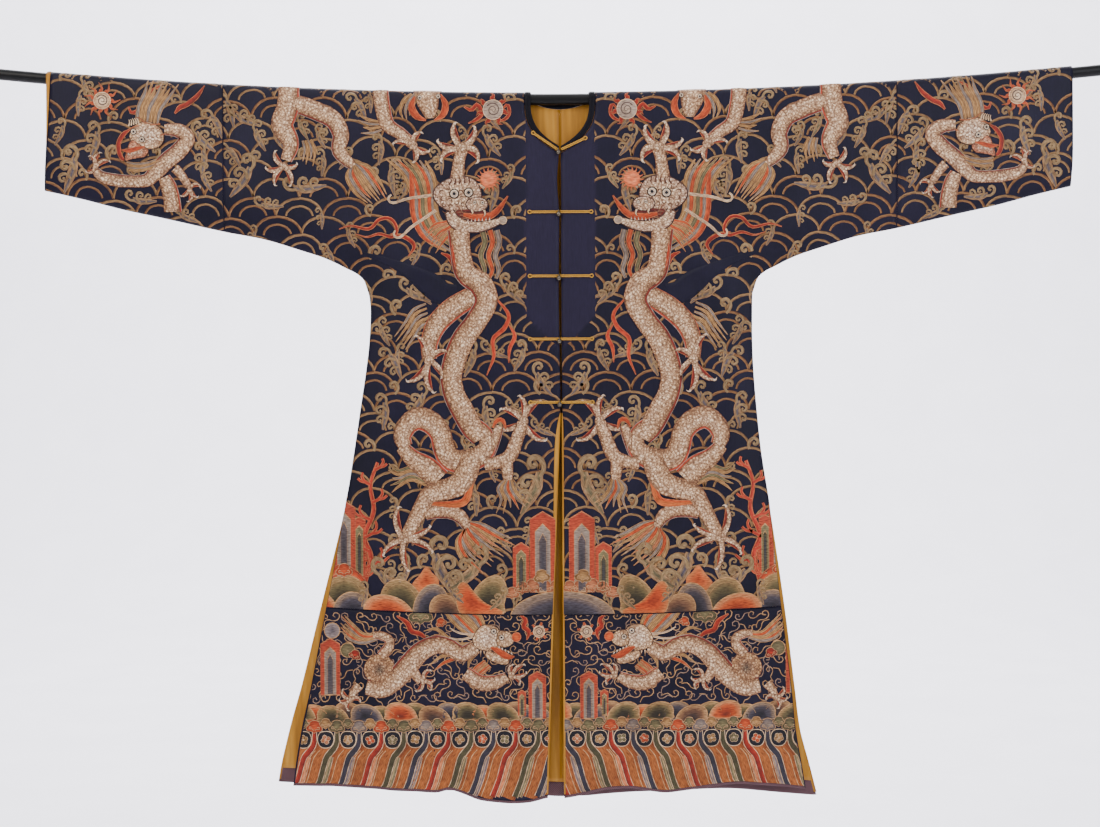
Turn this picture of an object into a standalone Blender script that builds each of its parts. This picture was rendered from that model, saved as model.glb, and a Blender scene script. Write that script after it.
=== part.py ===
"""Chinese dragon robe, hung open and flat on a thin rod that runs through both sleeves.

Frame: metres, +Z up, +X to the viewer's right (the wearer's left), the front faces -Y.
The origin is the middle of the rod's axis at the centre of the robe.
"""

import math
from collections import namedtuple

import bmesh
import bpy
from mathutils import Vector

# Driving sizes, in metres

WALL = 0.0020                 # silk, its embroidery and its lining, as one wall
SEAM_GAP = 0.0003             # between two pieces sewn together
LINING_WALL = 0.0010
LINING_CLEAR = 0.0003         # between the back's inner side and its lining
LINING_INSET = 0.004          # from the edge of the back to the lining's edge, at the slits

ROD_RADIUS = 0.0110
ROD_HALF = 1.150
ROD_RISE = 0.0462             # height gained per square metre across, so the rod sags in the middle
ROD_CLEAR = 0.0008            # slack of the cloth round the rod
WRAP = ROD_RADIUS + ROD_CLEAR + WALL

NECK_HALF = 0.057             # half width of the neck hole
NECK_FRONT = 0.0936           # drop of the neck hole in front, below the rod's axis
NECK_BACK = 0.027             # from the ridge down the back, along the cloth
BAND_WIDTH = 0.012            # binding round the neck hole
BAND_FRONT_WIDTH = 0.0134     # the same at the bottom of the front curve
BAND_PROUD = 0.0005
BAND_GAP = 0.0006             # between the binding and the cloth, where both turn over the rod

ARMHOLE = 0.374               # where body and sleeve meet, from the centre
ARMPIT = 0.380                # depth of the armpit
SLEEVE_SEAM = 0.655           # where the outer length of sleeve is sewn on
CUFF = 1.000                  # nominal cuff
SLIT_TOP = 0.775              # side seams are sewn down to here and open below
SEAM_SPREAD = 0.070           # distance from a sewn edge over which front and back part

LEVEL_SEAM_EDGE = 0.986       # depth of the seam above the lower band, at the sides
LEVEL_SEAM_MIDDLE = 1.004
LEVEL_SEAM_HALF = 0.470
HEM_BINDING = 0.005
HEM_FACING = 0.028            # brown strip inside the back's hem

CUFF_LINING_WIDTH = 0.009     # lining that rolls out at the right cuff, on top of the rod
CUFF_LINING_END = 0.001
CUFF_LINING_REACH = 0.150     # how far down the cuff it tapers away

FROG_DEPTHS = [0.221, 0.3455, 0.468, 0.591]
FROG_REACH = 0.063
FROG_KNOT_START = -0.0026     # the two cords of a frog start just apart, by the ball
FROG_LOOP_START = -0.0016
FROG_HALF_WIDTH = 0.00275
FROG_HALF_THICK = 0.0015
FROG_CLEAR = 0.0003
NECK_FROG_CLEAR = 0.0010      # the top frog lies over the neck binding
NECK_FROG_KNOT = ((-0.0034, 0.1012), (-0.0546, 0.0660))
NECK_FROG_LOOP = ((0.0018, 0.1002), (0.0520, 0.0770))
BUTTON_RADIUS = 0.0050
BUTTON_ACROSS = -0.0035
BUTTON_DROP = 0.0050          # below the cord that holds it
BUTTON_PROUD = 0.0067         # middle of the ball, out from the cord's underside

FRONT = -1
BACK = 1
RIGHT = -1                    # the wearer's right, at the viewer's left
LEFT = 1
SIDE_NAMES = {RIGHT: "right", LEFT: "left"}

QUARTER = math.pi / 2
QUARTER_ARC = WRAP * QUARTER

# Outlines measured on the spread robe: distances from the centre line and depths below the rod

SideEdge = namedtuple("SideEdge", "depth right left")
SIDE_EDGES = [
    SideEdge(0.374, 0.374, 0.374),
    SideEdge(0.413, 0.371, 0.373),
    SideEdge(0.471, 0.374, 0.373),
    SideEdge(0.528, 0.381, 0.375),
    SideEdge(0.606, 0.393, 0.381),
    SideEdge(0.684, 0.405, 0.389),
    SideEdge(0.762, 0.418, 0.401),
    SideEdge(0.840, 0.436, 0.414),
    SideEdge(0.996, 0.475, 0.436),
    SideEdge(1.152, 0.512, 0.455),
    SideEdge(1.230, 0.533, 0.465),
    SideEdge(1.308, 0.551, 0.485),
    SideEdge(1.360, 0.560, 0.498),
]

# How far the front's edge lies inside the back's, below the top of each slit
SlitInset = namedtuple("SlitInset", "depth right left")
SLIT_INSETS = [
    SlitInset(0.775, 0.000, 0.000),
    SlitInset(0.850, 0.006, 0.006),
    SlitInset(1.000, 0.014, 0.010),
    SlitInset(1.200, 0.024, 0.012),
    SlitInset(1.340, 0.033, 0.024),
]

# Distance of each front's opening edge from the centre line
FrontEdge = namedtuple("FrontEdge", "depth right left")
FRONT_EDGES = [
    FrontEdge(0.107, 0.0020, 0.0010),
    FrontEdge(0.160, 0.0060, 0.0015),
    FrontEdge(0.220, 0.0025, 0.0015),
    FrontEdge(0.280, 0.0030, 0.0010),
    FrontEdge(0.400, 0.0040, 0.0010),
    FrontEdge(0.592, 0.0020, 0.0010),
    FrontEdge(0.700, 0.0060, 0.0010),
    FrontEdge(1.000, 0.0180, 0.0010),
    FrontEdge(1.362, 0.0310, 0.0015),
]

Underarm = namedtuple("Underarm", "across depth")
UNDERARMS = [
    Underarm(0.374, 0.380),
    Underarm(0.385, 0.349),
    Underarm(0.425, 0.324),
    Underarm(0.461, 0.307),
    Underarm(0.500, 0.294),
    Underarm(0.578, 0.270),
    Underarm(0.655, 0.255),
    Underarm(0.773, 0.228),
    Underarm(0.851, 0.211),
    Underarm(0.929, 0.1905),
    Underarm(1.000, 0.174),
    Underarm(1.020, 0.170),
]

Cuff = namedtuple("Cuff", "depth right left")
CUFFS = [
    Cuff(-0.060, 0.998, 0.997),
    Cuff(0.090, 0.999, 0.997),
    Cuff(0.176, 1.006, 0.996),
]

# Hem lines, by signed distance across
Hem = namedtuple("Hem", "across depth")
FRONT_HEM = [
    Hem(-0.530, 1.333),
    Hem(-0.451, 1.335),
    Hem(-0.364, 1.339),
    Hem(-0.305, 1.345),
    Hem(-0.247, 1.346),
    Hem(-0.217, 1.342),
    Hem(-0.159, 1.364),
    Hem(-0.071, 1.368),
    Hem(-0.026, 1.359),
    Hem(0.003, 1.360),
    Hem(0.075, 1.345),
    Hem(0.134, 1.343),
    Hem(0.192, 1.349),
    Hem(0.251, 1.343),
    Hem(0.338, 1.335),
    Hem(0.397, 1.337),
    Hem(0.480, 1.346),
]
BACK_HEM = [
    Hem(-0.560, 1.331),
    Hem(-0.300, 1.345),
    Hem(-0.020, 1.362),
    Hem(0.020, 1.362),
    Hem(0.300, 1.350),
    Hem(0.500, 1.363),
]

# Soft folds that stand out of the skirt and grow towards the hem
Fold = namedtuple("Fold", "face across top height half_width")
FOLDS = [
    Fold(FRONT, -0.365, 0.800, 0.006, 0.085),
    Fold(FRONT, -0.235, 0.900, 0.011, 0.060),
    Fold(FRONT, -0.100, 0.760, 0.006, 0.075),
    Fold(FRONT, 0.045, 0.760, 0.005, 0.060),
    Fold(FRONT, 0.235, 0.800, 0.007, 0.090),
    Fold(FRONT, 0.390, 0.860, 0.005, 0.070),
    Fold(BACK, -0.360, 0.800, 0.006, 0.100),
    Fold(BACK, -0.130, 0.840, 0.007, 0.090),
    Fold(BACK, 0.120, 0.780, 0.006, 0.090),
    Fold(BACK, 0.330, 0.820, 0.007, 0.090),
]
FOLD_FAN = 0.20               # share by which folds draw together towards the top
HEM_LEVEL = 1.350

# Steps of the grids of points

ARC_STEPS = 3
NECK_SHARES = [0.15, 0.30, 0.45, 0.60, 0.72, 0.82, 0.90, 0.96, 1.00]
BACK_NECK_ANGLES = [45, 58, 72, 90]
CHEST_STEPS = 5
WAIST_STEPS = 10
BODY_COLUMNS = 12
SLEEVE_ACROSS = [0.380, 0.387, 0.402, 0.425, 0.470, 0.530, 0.595]
CUFF_COLUMNS = 6
SLEEVE_STEPS = 9
UNDERARM_TURN = 0.985         # share of the sleeve's height where front turns into back
BAND_STEPS = 5
ROD_STEPS = 24
ROD_SIDES = 16
CORD_SIDES = 8

# Width of a frog's cord along it, against its plain width
CordStation = namedtuple("CordStation", "share width")
CORD_STATIONS = [
    CordStation(0.00, 1.00),
    CordStation(0.15, 0.90),
    CordStation(0.50, 1.00),
    CordStation(0.80, 1.15),
    CordStation(0.94, 1.35),
    CordStation(1.00, 0.90),
]
SHARP_ANGLE = 40
BALL_SHARP_ANGLE = 80

Spot = namedtuple("Spot", "across turn depth")
Level = namedtuple("Level", "turn drop")


def clear_scene():
    for thing in list(bpy.data.objects):
        bpy.data.objects.remove(thing)


def linear(channel):
    if channel <= 0.04045:
        return channel / 12.92
    return ((channel + 0.055) / 1.055) ** 2.4


def finish(name, hex_colour, roughness, metallic=0.0):
    """Principled material of one plain colour, given as sRGB hex."""
    channels = [int(hex_colour[place:place + 2], 16) / 255 for place in (0, 2, 4)]
    material = bpy.data.materials.new(name)
    material.use_nodes = True
    shader = material.node_tree.nodes["Principled BSDF"]
    shader.inputs["Base Color"].default_value = (*[linear(value) for value in channels], 1.0)
    shader.inputs["Roughness"].default_value = roughness
    shader.inputs["Metallic"].default_value = metallic
    return material


def smooth_at(rows, key, column, place):
    """One column of a table, read on a smooth curve through its rows."""
    keys = [getattr(row, key) for row in rows]
    values = [getattr(row, column) for row in rows]
    place = min(max(place, keys[0]), keys[-1])
    at = 0
    while at < len(keys) - 2 and place > keys[at + 1]:
        at += 1

    def slope(index):
        before = max(index - 1, 0)
        after = min(index + 1, len(keys) - 1)
        return (values[after] - values[before]) / (keys[after] - keys[before])

    span = keys[at + 1] - keys[at]
    share = (place - keys[at]) / span
    start_weight = 2 * share ** 3 - 3 * share ** 2 + 1
    start_slope = share ** 3 - 2 * share ** 2 + share
    end_weight = 3 * share ** 2 - 2 * share ** 3
    end_slope = share ** 3 - share ** 2
    return (start_weight * values[at] + start_slope * span * slope(at)
            + end_weight * values[at + 1] + end_slope * span * slope(at + 1))


def mix(start, end, share):
    return start + (end - start) * share


# The shape of the hanging cloth

def rod_height(across):
    return ROD_RISE * across ** 2


def side_edge(face, side, depth):
    """Signed place of a panel's side edge below the armpit."""
    edge = smooth_at(SIDE_EDGES, "depth", SIDE_NAMES[side], depth)
    if face == FRONT:
        edge -= smooth_at(SLIT_INSETS, "depth", SIDE_NAMES[side], depth)
    return side * edge


def sewn_line(side):
    """Points along the underarm and side seam, from the cuff to the top of the slit."""
    line = [(row.across, row.depth) for row in reversed(UNDERARMS)]
    for row in SIDE_EDGES:
        if ARMPIT < row.depth < SLIT_TOP:
            line.append((getattr(row, SIDE_NAMES[side]), row.depth))
    line.append((abs(side_edge(BACK, side, SLIT_TOP)), SLIT_TOP))
    return [Vector(point) for point in line]


SEWN_LINES = {side: sewn_line(side) for side in SIDE_NAMES}


def sewn_distance(across, depth):
    """How far a point of the spread robe lies from the nearest sewn edge."""
    here = Vector((abs(across), depth))
    line = SEWN_LINES[LEFT if across > 0 else RIGHT]
    nearest = 1.0
    for start, end in zip(line, line[1:]):
        along = end - start
        share = (here - start).dot(along) / along.length_squared
        foot = start + along * min(max(share, 0.0), 1.0)
        nearest = min(nearest, (here - foot).length)
    return nearest


def fold_height(face, across, depth):
    height = 0.0
    for fold in FOLDS:
        if fold.face != face or depth <= fold.top:
            continue
        middle = fold.across * (1 - FOLD_FAN * (HEM_LEVEL - depth) / HEM_LEVEL)
        away = abs(across - middle) / fold.half_width
        if away < 1:
            growth = min(1.0, (depth - fold.top) / (HEM_LEVEL - fold.top))
            height += fold.height * growth * math.cos(away * QUARTER) ** 2
    return height


def wall_reach(face, across, depth):
    """Distance of the cloth's outer side from the middle plane of the flat robe."""
    shut = WALL + SEAM_GAP / 2
    spread = min(1.0, sewn_distance(across, depth) / SEAM_SPREAD)
    flat = shut + (WRAP - shut) * math.sin(spread * QUARTER)
    return flat + fold_height(face, across, depth) * spread


def wall_point(face, spot, lift=0.0):
    """A point lifted off the cloth's outer side, over the rod or hanging below it."""
    if spot.turn < QUARTER:
        reach = WRAP + lift
        height = rod_height(spot.across) + reach * math.cos(spot.turn)
        return Vector((spot.across, face * reach * math.sin(spot.turn), height))
    reach = wall_reach(face, spot.across, spot.depth) + lift
    return Vector((spot.across, face * reach, -spot.depth))


def hanging_spot(across, drop):
    """Spot at a drop below the rod's axis: rows follow the rod above and run level below."""
    follow = max(0.0, 1 - drop / ARMPIT)
    return Spot(across, QUARTER, drop - rod_height(across) * follow)


def level_seam(across):
    return mix(LEVEL_SEAM_MIDDLE, LEVEL_SEAM_EDGE, (across / LEVEL_SEAM_HALF) ** 2)


# Closed solids

def make_object(name, points, faces, material, sharp_angle=SHARP_ANGLE):
    mesh = bpy.data.meshes.new(name)
    mesh.from_pydata([tuple(point) for point in points], [], faces)
    shape = bmesh.new()
    shape.from_mesh(mesh)
    unused = [vertex for vertex in shape.verts if not vertex.link_faces]
    bmesh.ops.delete(shape, geom=unused, context="VERTS")
    bmesh.ops.recalc_face_normals(shape, faces=shape.faces)
    shape.to_mesh(mesh)
    shape.free()
    mesh.shade_smooth()
    mesh.set_sharp_from_angle(angle=math.radians(sharp_angle))
    mesh.materials.append(material)
    piece = bpy.data.objects.new(name, mesh)
    bpy.context.scene.collection.objects.link(piece)
    return piece


def closed_wall(name, outer, inner, faces, material):
    """A wall between two sheets with the same triangles, joined round every open edge."""
    count = len(outer)
    faces = [half for a, b, c, d in faces for half in ((a, b, c), (a, c, d))]
    under = [tuple(index + count for index in reversed(face)) for face in faces]
    directed = {(face[at - 1], face[at]) for face in faces for at in range(len(face))}
    rims = [(end, start, start + count, end + count)
            for start, end in sorted(directed) if (end, start) not in directed]
    return make_object(name, outer + inner, faces + under + rims, material)


def grid_faces(rows, columns, closed=False):
    faces = []
    steps = rows if closed else rows - 1
    for row in range(steps):
        below = (row + 1) % rows
        for column in range(columns - 1):
            faces.append((row * columns + column, row * columns + column + 1,
                          below * columns + column + 1, below * columns + column))
    return faces


def wall_from_rows(name, face, rows, material, outer_lift=0.0, inner_lift=-WALL):
    spots = [spot for row in rows for spot in row]
    outer = [wall_point(face, spot, outer_lift) for spot in spots]
    inner = [wall_point(face, spot, inner_lift) for spot in spots]
    return closed_wall(name, outer, inner, grid_faces(len(rows), len(rows[0])), material)


def tube(name, centres, ups, outs, material, sides):
    """A capped tube whose section at each centre is spanned by two half axes."""
    points = []
    for centre, up, out in zip(centres, ups, outs):
        for side in range(sides):
            angle = 2 * math.pi * (side + 0.5) / sides
            points.append(centre + up * math.cos(angle) + out * math.sin(angle))
    faces = []
    for ring in range(len(centres) - 1):
        for side in range(sides):
            after = (side + 1) % sides
            faces.append((ring * sides + side, ring * sides + after,
                          (ring + 1) * sides + after, (ring + 1) * sides + side))
    last = (len(centres) - 1) * sides
    faces.append(tuple(range(sides)))
    faces.append(tuple(last + side for side in reversed(range(sides))))
    return make_object(name, points, faces, material)


# The rod, which sags a little in the middle

def make_rod(material):
    places = [mix(-ROD_HALF, ROD_HALF, step / ROD_STEPS) for step in range(ROD_STEPS + 1)]
    centres = [Vector((across, 0, rod_height(across))) for across in places]
    ups = [Vector((0, 0, ROD_RADIUS))] * len(places)
    outs = [Vector((0, ROD_RADIUS, 0))] * len(places)
    tube("rod", centres, ups, outs, material, ROD_SIDES)


# Fronts and backs: each is one length of silk from the seam above the lower band up to the
# shoulder ridge, with the inner length of its sleeve cut on

def over_rod_levels():
    first = SEAM_GAP / 2 / WRAP
    return [Level(mix(first, QUARTER, step / ARC_STEPS), 0.0) for step in range(ARC_STEPS + 1)]


def body_levels(face):
    levels = over_rod_levels()
    if face == FRONT:
        depth = NECK_FRONT + BAND_FRONT_WIDTH
        levels += [Level(QUARTER, depth * share) for share in NECK_SHARES]
    else:
        reach = NECK_BACK + BAND_WIDTH
        for angle in BACK_NECK_ANGLES:
            levels.append(Level(QUARTER, reach * math.sin(math.radians(angle)) - QUARTER_ARC))
    top = levels[-1].drop
    levels += [Level(QUARTER, mix(top, ARMPIT, step / CHEST_STEPS))
               for step in range(1, CHEST_STEPS + 1)]
    levels += [Level(QUARTER, mix(ARMPIT, LEVEL_SEAM_EDGE, step / WAIST_STEPS))
               for step in range(1, WAIST_STEPS + 1)]
    return levels


def neck_across(face, level, half_width):
    """Half width of the neck curve at a level, before the opening edge cuts it off."""
    if face == FRONT:
        share = level.drop / (NECK_FRONT + BAND_FRONT_WIDTH)
        return half_width * max(0.0, 1 - share ** 3)
    share = (level.turn * WRAP + level.drop) / (NECK_BACK + BAND_WIDTH)
    return half_width * math.sqrt(max(0.0, 1 - share ** 2))


def inner_edge(face, side, level):
    """Distance of a panel's inner edge from the centre line."""
    edge = SEAM_GAP / 2
    if face == FRONT:
        edge = smooth_at(FRONT_EDGES, "depth", SIDE_NAMES[side], level.drop)
    return max(edge, neck_across(face, level, NECK_HALF + BAND_WIDTH))


def level_spot(across, level):
    if level.turn < QUARTER:
        return Spot(across, level.turn, 0.0)
    spot = hanging_spot(across, level.drop)
    stretch = max(0.0, (level.drop - ARMPIT) / (LEVEL_SEAM_EDGE - ARMPIT))
    lower = (level_seam(across) - LEVEL_SEAM_EDGE) * stretch
    return spot._replace(depth=spot.depth + lower)


def body_rows(face, side):
    rows = []
    for level in body_levels(face):
        start = side * inner_edge(face, side, level)
        end = side * ARMHOLE
        if level.drop > ARMPIT:
            end = side_edge(face, side, level.drop)
        rows.append([level_spot(mix(start, end, column / BODY_COLUMNS), level)
                     for column in range(BODY_COLUMNS + 1)])
    return rows


def sleeve_spot(side, across, level):
    """Spot on a sleeve, whose levels draw together towards the cuff."""
    if level.turn < QUARTER:
        return Spot(side * across, level.turn, 0.0)
    share = level.drop / ARMPIT
    underarm = smooth_at(UNDERARMS, "across", "depth", across)
    return Spot(side * across, QUARTER, mix(-rod_height(across), underarm, share))


def make_body(face, side, material):
    body = body_rows(face, side)
    levels = [level for level in body_levels(face) if level.drop <= ARMPIT]
    places = SLEEVE_ACROSS + [SLEEVE_SEAM - SEAM_GAP / 2]
    width = BODY_COLUMNS + 1
    spots = [spot for row in body for spot in row]
    faces = grid_faces(len(body), width)
    first = len(spots)
    for level in levels:
        spots += [sleeve_spot(side, across, level) for across in places]

    def sleeve_index(row, column):
        if column == 0:
            return row * width + width - 1
        return first + row * len(places) + column - 1

    for row in range(len(levels) - 1):
        for column in range(len(places)):
            faces.append((sleeve_index(row, column), sleeve_index(row, column + 1),
                          sleeve_index(row + 1, column + 1), sleeve_index(row + 1, column)))
    outer = [wall_point(face, spot) for spot in spots]
    inner = [wall_point(face, spot, -WALL) for spot in spots]
    name = f"{'front' if face == FRONT else 'back'}_{SIDE_NAMES[side]}_body"
    closed_wall(name, outer, inner, faces, material)


# Outer lengths of the sleeves: tubes, closed along the underarm and open at both ends

def cuff_lining_width(side, reach):
    """Width of lining that shows at a cuff, by distance along the cloth from the ridge."""
    if side != RIGHT or reach > CUFF_LINING_REACH:
        return 0.0
    return mix(CUFF_LINING_WIDTH, CUFF_LINING_END, reach / CUFF_LINING_REACH)


def cuff_end(side, level):
    """Where a sleeve ends at a level: at the right cuff, short of the lining rolled out there."""
    depth = -rod_height(CUFF)
    reach = level.turn * WRAP
    if level.turn == QUARTER:
        depth = sleeve_spot(side, CUFF, level).depth
        reach = QUARTER_ARC + depth + rod_height(CUFF)
    end = smooth_at(CUFFS, "depth", SIDE_NAMES[side], depth)
    width = cuff_lining_width(side, reach)
    return end - width - SEAM_GAP if width else end


def make_sleeve(side, material):
    levels = over_rod_levels()[1:]
    levels += [Level(QUARTER, ARMPIT * step / SLEEVE_STEPS) for step in range(1, SLEEVE_STEPS)]
    levels.append(Level(QUARTER, ARMPIT * UNDERARM_TURN))

    def ring_spots(level):
        start = SLEEVE_SEAM + SEAM_GAP / 2
        end = cuff_end(side, level)
        return [sleeve_spot(side, mix(start, end, column / CUFF_COLUMNS), level)
                for column in range(CUFF_COLUMNS + 1)]

    ridge = ring_spots(Level(0.0, 0.0))
    outer = [wall_point(FRONT, spot) for spot in ridge]
    inner = [wall_point(FRONT, spot, -WALL) for spot in ridge]
    for level in levels:
        spots = ring_spots(level)
        outer += [wall_point(FRONT, spot) for spot in spots]
        inner += [wall_point(FRONT, spot, -WALL) for spot in spots]
    for spot in ring_spots(Level(QUARTER, ARMPIT)):
        outer.append(Vector((spot.across, 0, -spot.depth)))
        inner.append(Vector((spot.across, 0, -spot.depth + WALL)))
    for level in reversed(levels):
        spots = ring_spots(level)
        outer += [wall_point(BACK, spot) for spot in spots]
        inner += [wall_point(BACK, spot, -WALL) for spot in spots]
    faces = grid_faces(2 * len(levels) + 2, CUFF_COLUMNS + 1, closed=True)
    closed_wall(f"sleeve_{SIDE_NAMES[side]}", outer, inner, faces, material)


def make_cuff_lining(material):
    """Lining rolled out past the right cuff, widest on top of the rod."""
    reaches = [CUFF_LINING_REACH * share for share in (1.0, 0.75, 0.5, 0.3)]
    reaches += [QUARTER_ARC * step / ARC_STEPS for step in range(ARC_STEPS, 0, -1)]
    stations = [(BACK, reach) for reach in reaches] + [(FRONT, 0.0)]
    stations += [(FRONT, reach) for reach in reversed(reaches)]
    outer = []
    inner = []
    for face, reach in stations:
        turn = min(QUARTER, reach / WRAP)
        drop = max(0.0, reach - QUARTER_ARC)
        cuff = smooth_at(CUFFS, "depth", SIDE_NAMES[RIGHT], drop - rod_height(CUFF))
        for across in (cuff - cuff_lining_width(RIGHT, reach), cuff):
            spot = Spot(-across, turn, drop - rod_height(across))
            outer.append(wall_point(face, spot))
            inner.append(wall_point(face, spot, -WALL))
    closed_wall("cuff_lining_right", outer, inner, grid_faces(len(stations), 2), material)


# Lower bands, sewn on at a level seam, with a narrow brown binding at the hem

def hem_depth(face, across):
    return smooth_at(FRONT_HEM if face == FRONT else BACK_HEM, "across", "depth", across)


def skirt_row(face, side, share, above_hem=0.0, below_seam=SEAM_GAP):
    """Row of the lower band: share 0 is its seam and share 1 is its hem."""
    level = Level(QUARTER, mix(LEVEL_SEAM_EDGE, HEM_LEVEL, share))
    start = side * inner_edge(face, side, level)
    end = side_edge(face, side, level.drop)
    row = []
    for column in range(BODY_COLUMNS + 1):
        across = mix(start, end, column / BODY_COLUMNS)
        hem = hem_depth(face, across)
        depth = mix(level_seam(across) + below_seam, hem, share)
        row.append(Spot(across, QUARTER, min(depth, hem - above_hem)))
    return row


def skirt_share(height):
    """Share of the lower band's height that lies a given height above the hem."""
    return 1 - height / (HEM_LEVEL - LEVEL_SEAM_EDGE)


def skirt_rows(face, side):
    facing_top = skirt_share(HEM_FACING)
    rows = [skirt_row(face, side, facing_top * step / BAND_STEPS) for step in range(BAND_STEPS)]
    rows.append(skirt_row(face, side, facing_top, HEM_FACING))
    rows.append(skirt_row(face, side, 1.0, HEM_BINDING + SEAM_GAP))
    return rows


def make_skirt(face, side, silk, brown):
    name = "front" if face == FRONT else "back"
    wall_from_rows(f"{name}_{SIDE_NAMES[side]}_hem_band", face, skirt_rows(face, side), silk)
    binding = [skirt_row(face, side, 1.0, HEM_BINDING), skirt_row(face, side, 1.0)]
    wall_from_rows(f"hem_binding_{name}_{SIDE_NAMES[side]}", face, binding, brown)


# The lining shows inside the back: at the neck, in the front gap and at the side slits

def drawn_in(points):
    """The same row of points with its outer end drawn in along the last step."""
    last = points[-1] - points[-2]
    return points[:-1] + [points[-1] - last * LINING_INSET / last.length]


def inner_layer(name, rows, faces, material):
    """A thin sheet just inside the back, made from the back's own points."""
    near = Vector((0, -WALL - LINING_CLEAR, 0))
    far = near - Vector((0, LINING_WALL, 0))
    points = [point for row in rows for point in row]
    closed_wall(name, [point + near for point in points], [point + far for point in points],
                faces, material)


def make_lining(side, ochre, brown):
    start = len(over_rod_levels())
    skirt = skirt_rows(BACK, side)
    rows = []
    open_rows = []
    for number, row in enumerate(body_rows(BACK, side)[start:-1] + skirt[:-1]):
        rows.append(drawn_in([wall_point(BACK, spot) for spot in row]))
        if row[-1].depth > SLIT_TOP:
            open_rows.append(number)
    rows[-1] = [point + Vector((0, 0, SEAM_GAP)) for point in rows[-1]]
    columns = BODY_COLUMNS + 1
    faces = []
    for face in grid_faces(len(rows), columns):
        row, column = divmod(face[0], columns)
        if column < BODY_COLUMNS - 1 or row >= open_rows[0]:
            faces.append(face)
    inner_layer(f"lining_back_{SIDE_NAMES[side]}", rows, faces, ochre)
    facing = [drawn_in([wall_point(BACK, spot) for spot in row])
              for row in (skirt[-2], skirt[-1], skirt_row(BACK, side, 1.0))]
    inner_layer(f"hem_facing_back_{SIDE_NAMES[side]}", facing,
                grid_faces(len(facing), columns), brown)


# The binding round the neck, one strip from one front edge round the back to the other

def neck_station(face, side, level, grow):
    """Spot on the neck binding: grow 0 is the neck hole, grow 1 the edge of the cloth."""
    half_width = NECK_HALF + BAND_WIDTH * grow
    across = neck_across(face, level, half_width)
    if face == FRONT:
        shrink = (NECK_FRONT + BAND_FRONT_WIDTH * grow) / (NECK_FRONT + BAND_FRONT_WIDTH)
        edge = smooth_at(FRONT_EDGES, "depth", SIDE_NAMES[side], level.drop)
        across = side * max(across, edge)
        if level.turn < QUARTER:
            return Spot(across, level.turn, 0.0)
        return hanging_spot(across, level.drop * shrink)
    reach = level.turn * WRAP + level.drop
    reach *= (NECK_BACK + BAND_WIDTH * grow) / (NECK_BACK + BAND_WIDTH)
    if reach < QUARTER_ARC:
        return Spot(side * across, reach / WRAP, 0.0)
    return hanging_spot(side * across, reach - QUARTER_ARC)


def make_neck_binding(material):
    arc = over_rod_levels()[1:]
    front = [Level(QUARTER, (NECK_FRONT + BAND_FRONT_WIDTH) * share)
             for share in reversed(NECK_SHARES)]
    reach = NECK_BACK + BAND_WIDTH
    back = arc + [Level(QUARTER, reach * math.sin(math.radians(angle)) - QUARTER_ARC)
                  for angle in BACK_NECK_ANGLES]
    right = [(FRONT, level) for level in front + list(reversed(arc))]
    right.append((FRONT, Level(0.0, 0.0)))
    right += [(BACK, level) for level in back]
    stations = [(face, RIGHT, level) for face, level in right]
    stations += [(face, LEFT, level) for face, level in reversed(right[:-1])]
    outer = []
    inner = []
    sewn = 1 - BAND_GAP / BAND_WIDTH
    for face, side, level in stations:
        for grow in (0.0, sewn):
            spot = neck_station(face, side, level, grow)
            outer.append(wall_point(face, spot, BAND_PROUD))
            inner.append(wall_point(face, spot, BAND_PROUD - WALL))
    closed_wall("neck_binding", outer, inner, grid_faces(len(stations), 2), material)


# Five cord frogs and their ball buttons close the front

def make_frog_cord(name, start, end, clear, material):
    """Doubled cord laid on the cloth between two (across, depth) places, looped at its end."""
    along = Vector((end[0] - start[0], 0, start[1] - end[1])).normalized()
    across_cord = along.cross(Vector((0, 1, 0)))
    centres = []
    ups = []
    for station in CORD_STATIONS:
        across = mix(start[0], end[0], station.share)
        depth = mix(start[1], end[1], station.share)
        spot = Spot(across, QUARTER, depth)
        centres.append(wall_point(FRONT, spot, clear + FROG_HALF_THICK))
        ups.append(across_cord * FROG_HALF_WIDTH * station.width)
    outs = [Vector((0, FROG_HALF_THICK, 0))] * len(centres)
    tube(name, centres, ups, outs, material, CORD_SIDES)


def make_button(name, cord_depth, clear, material):
    shape = bmesh.new()
    bmesh.ops.create_uvsphere(shape, u_segments=10, v_segments=7, radius=BUTTON_RADIUS)
    spot = Spot(BUTTON_ACROSS, QUARTER, cord_depth + BUTTON_DROP)
    middle = wall_point(FRONT, spot, clear + BUTTON_PROUD)
    points = [vertex.co + middle for vertex in shape.verts]
    faces = [tuple(vertex.index for vertex in face.verts) for face in shape.faces]
    shape.free()
    make_object(name, points, faces, material, BALL_SHARP_ANGLE)


def make_frogs(cord, bronze):
    make_frog_cord("frog_1_knot_side", *NECK_FROG_KNOT, NECK_FROG_CLEAR, cord)
    make_frog_cord("frog_1_loop_side", *NECK_FROG_LOOP, NECK_FROG_CLEAR, cord)
    make_button("button_1", NECK_FROG_KNOT[0][1], NECK_FROG_CLEAR, bronze)
    for number, depth in enumerate(FROG_DEPTHS, start=2):
        make_frog_cord(f"frog_{number}_knot_side", (FROG_KNOT_START, depth),
                       (-FROG_REACH, depth), FROG_CLEAR, cord)
        make_frog_cord(f"frog_{number}_loop_side", (FROG_LOOP_START, depth),
                       (FROG_REACH, depth), FROG_CLEAR, cord)
        make_button(f"button_{number}", depth, FROG_CLEAR, bronze)


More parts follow.
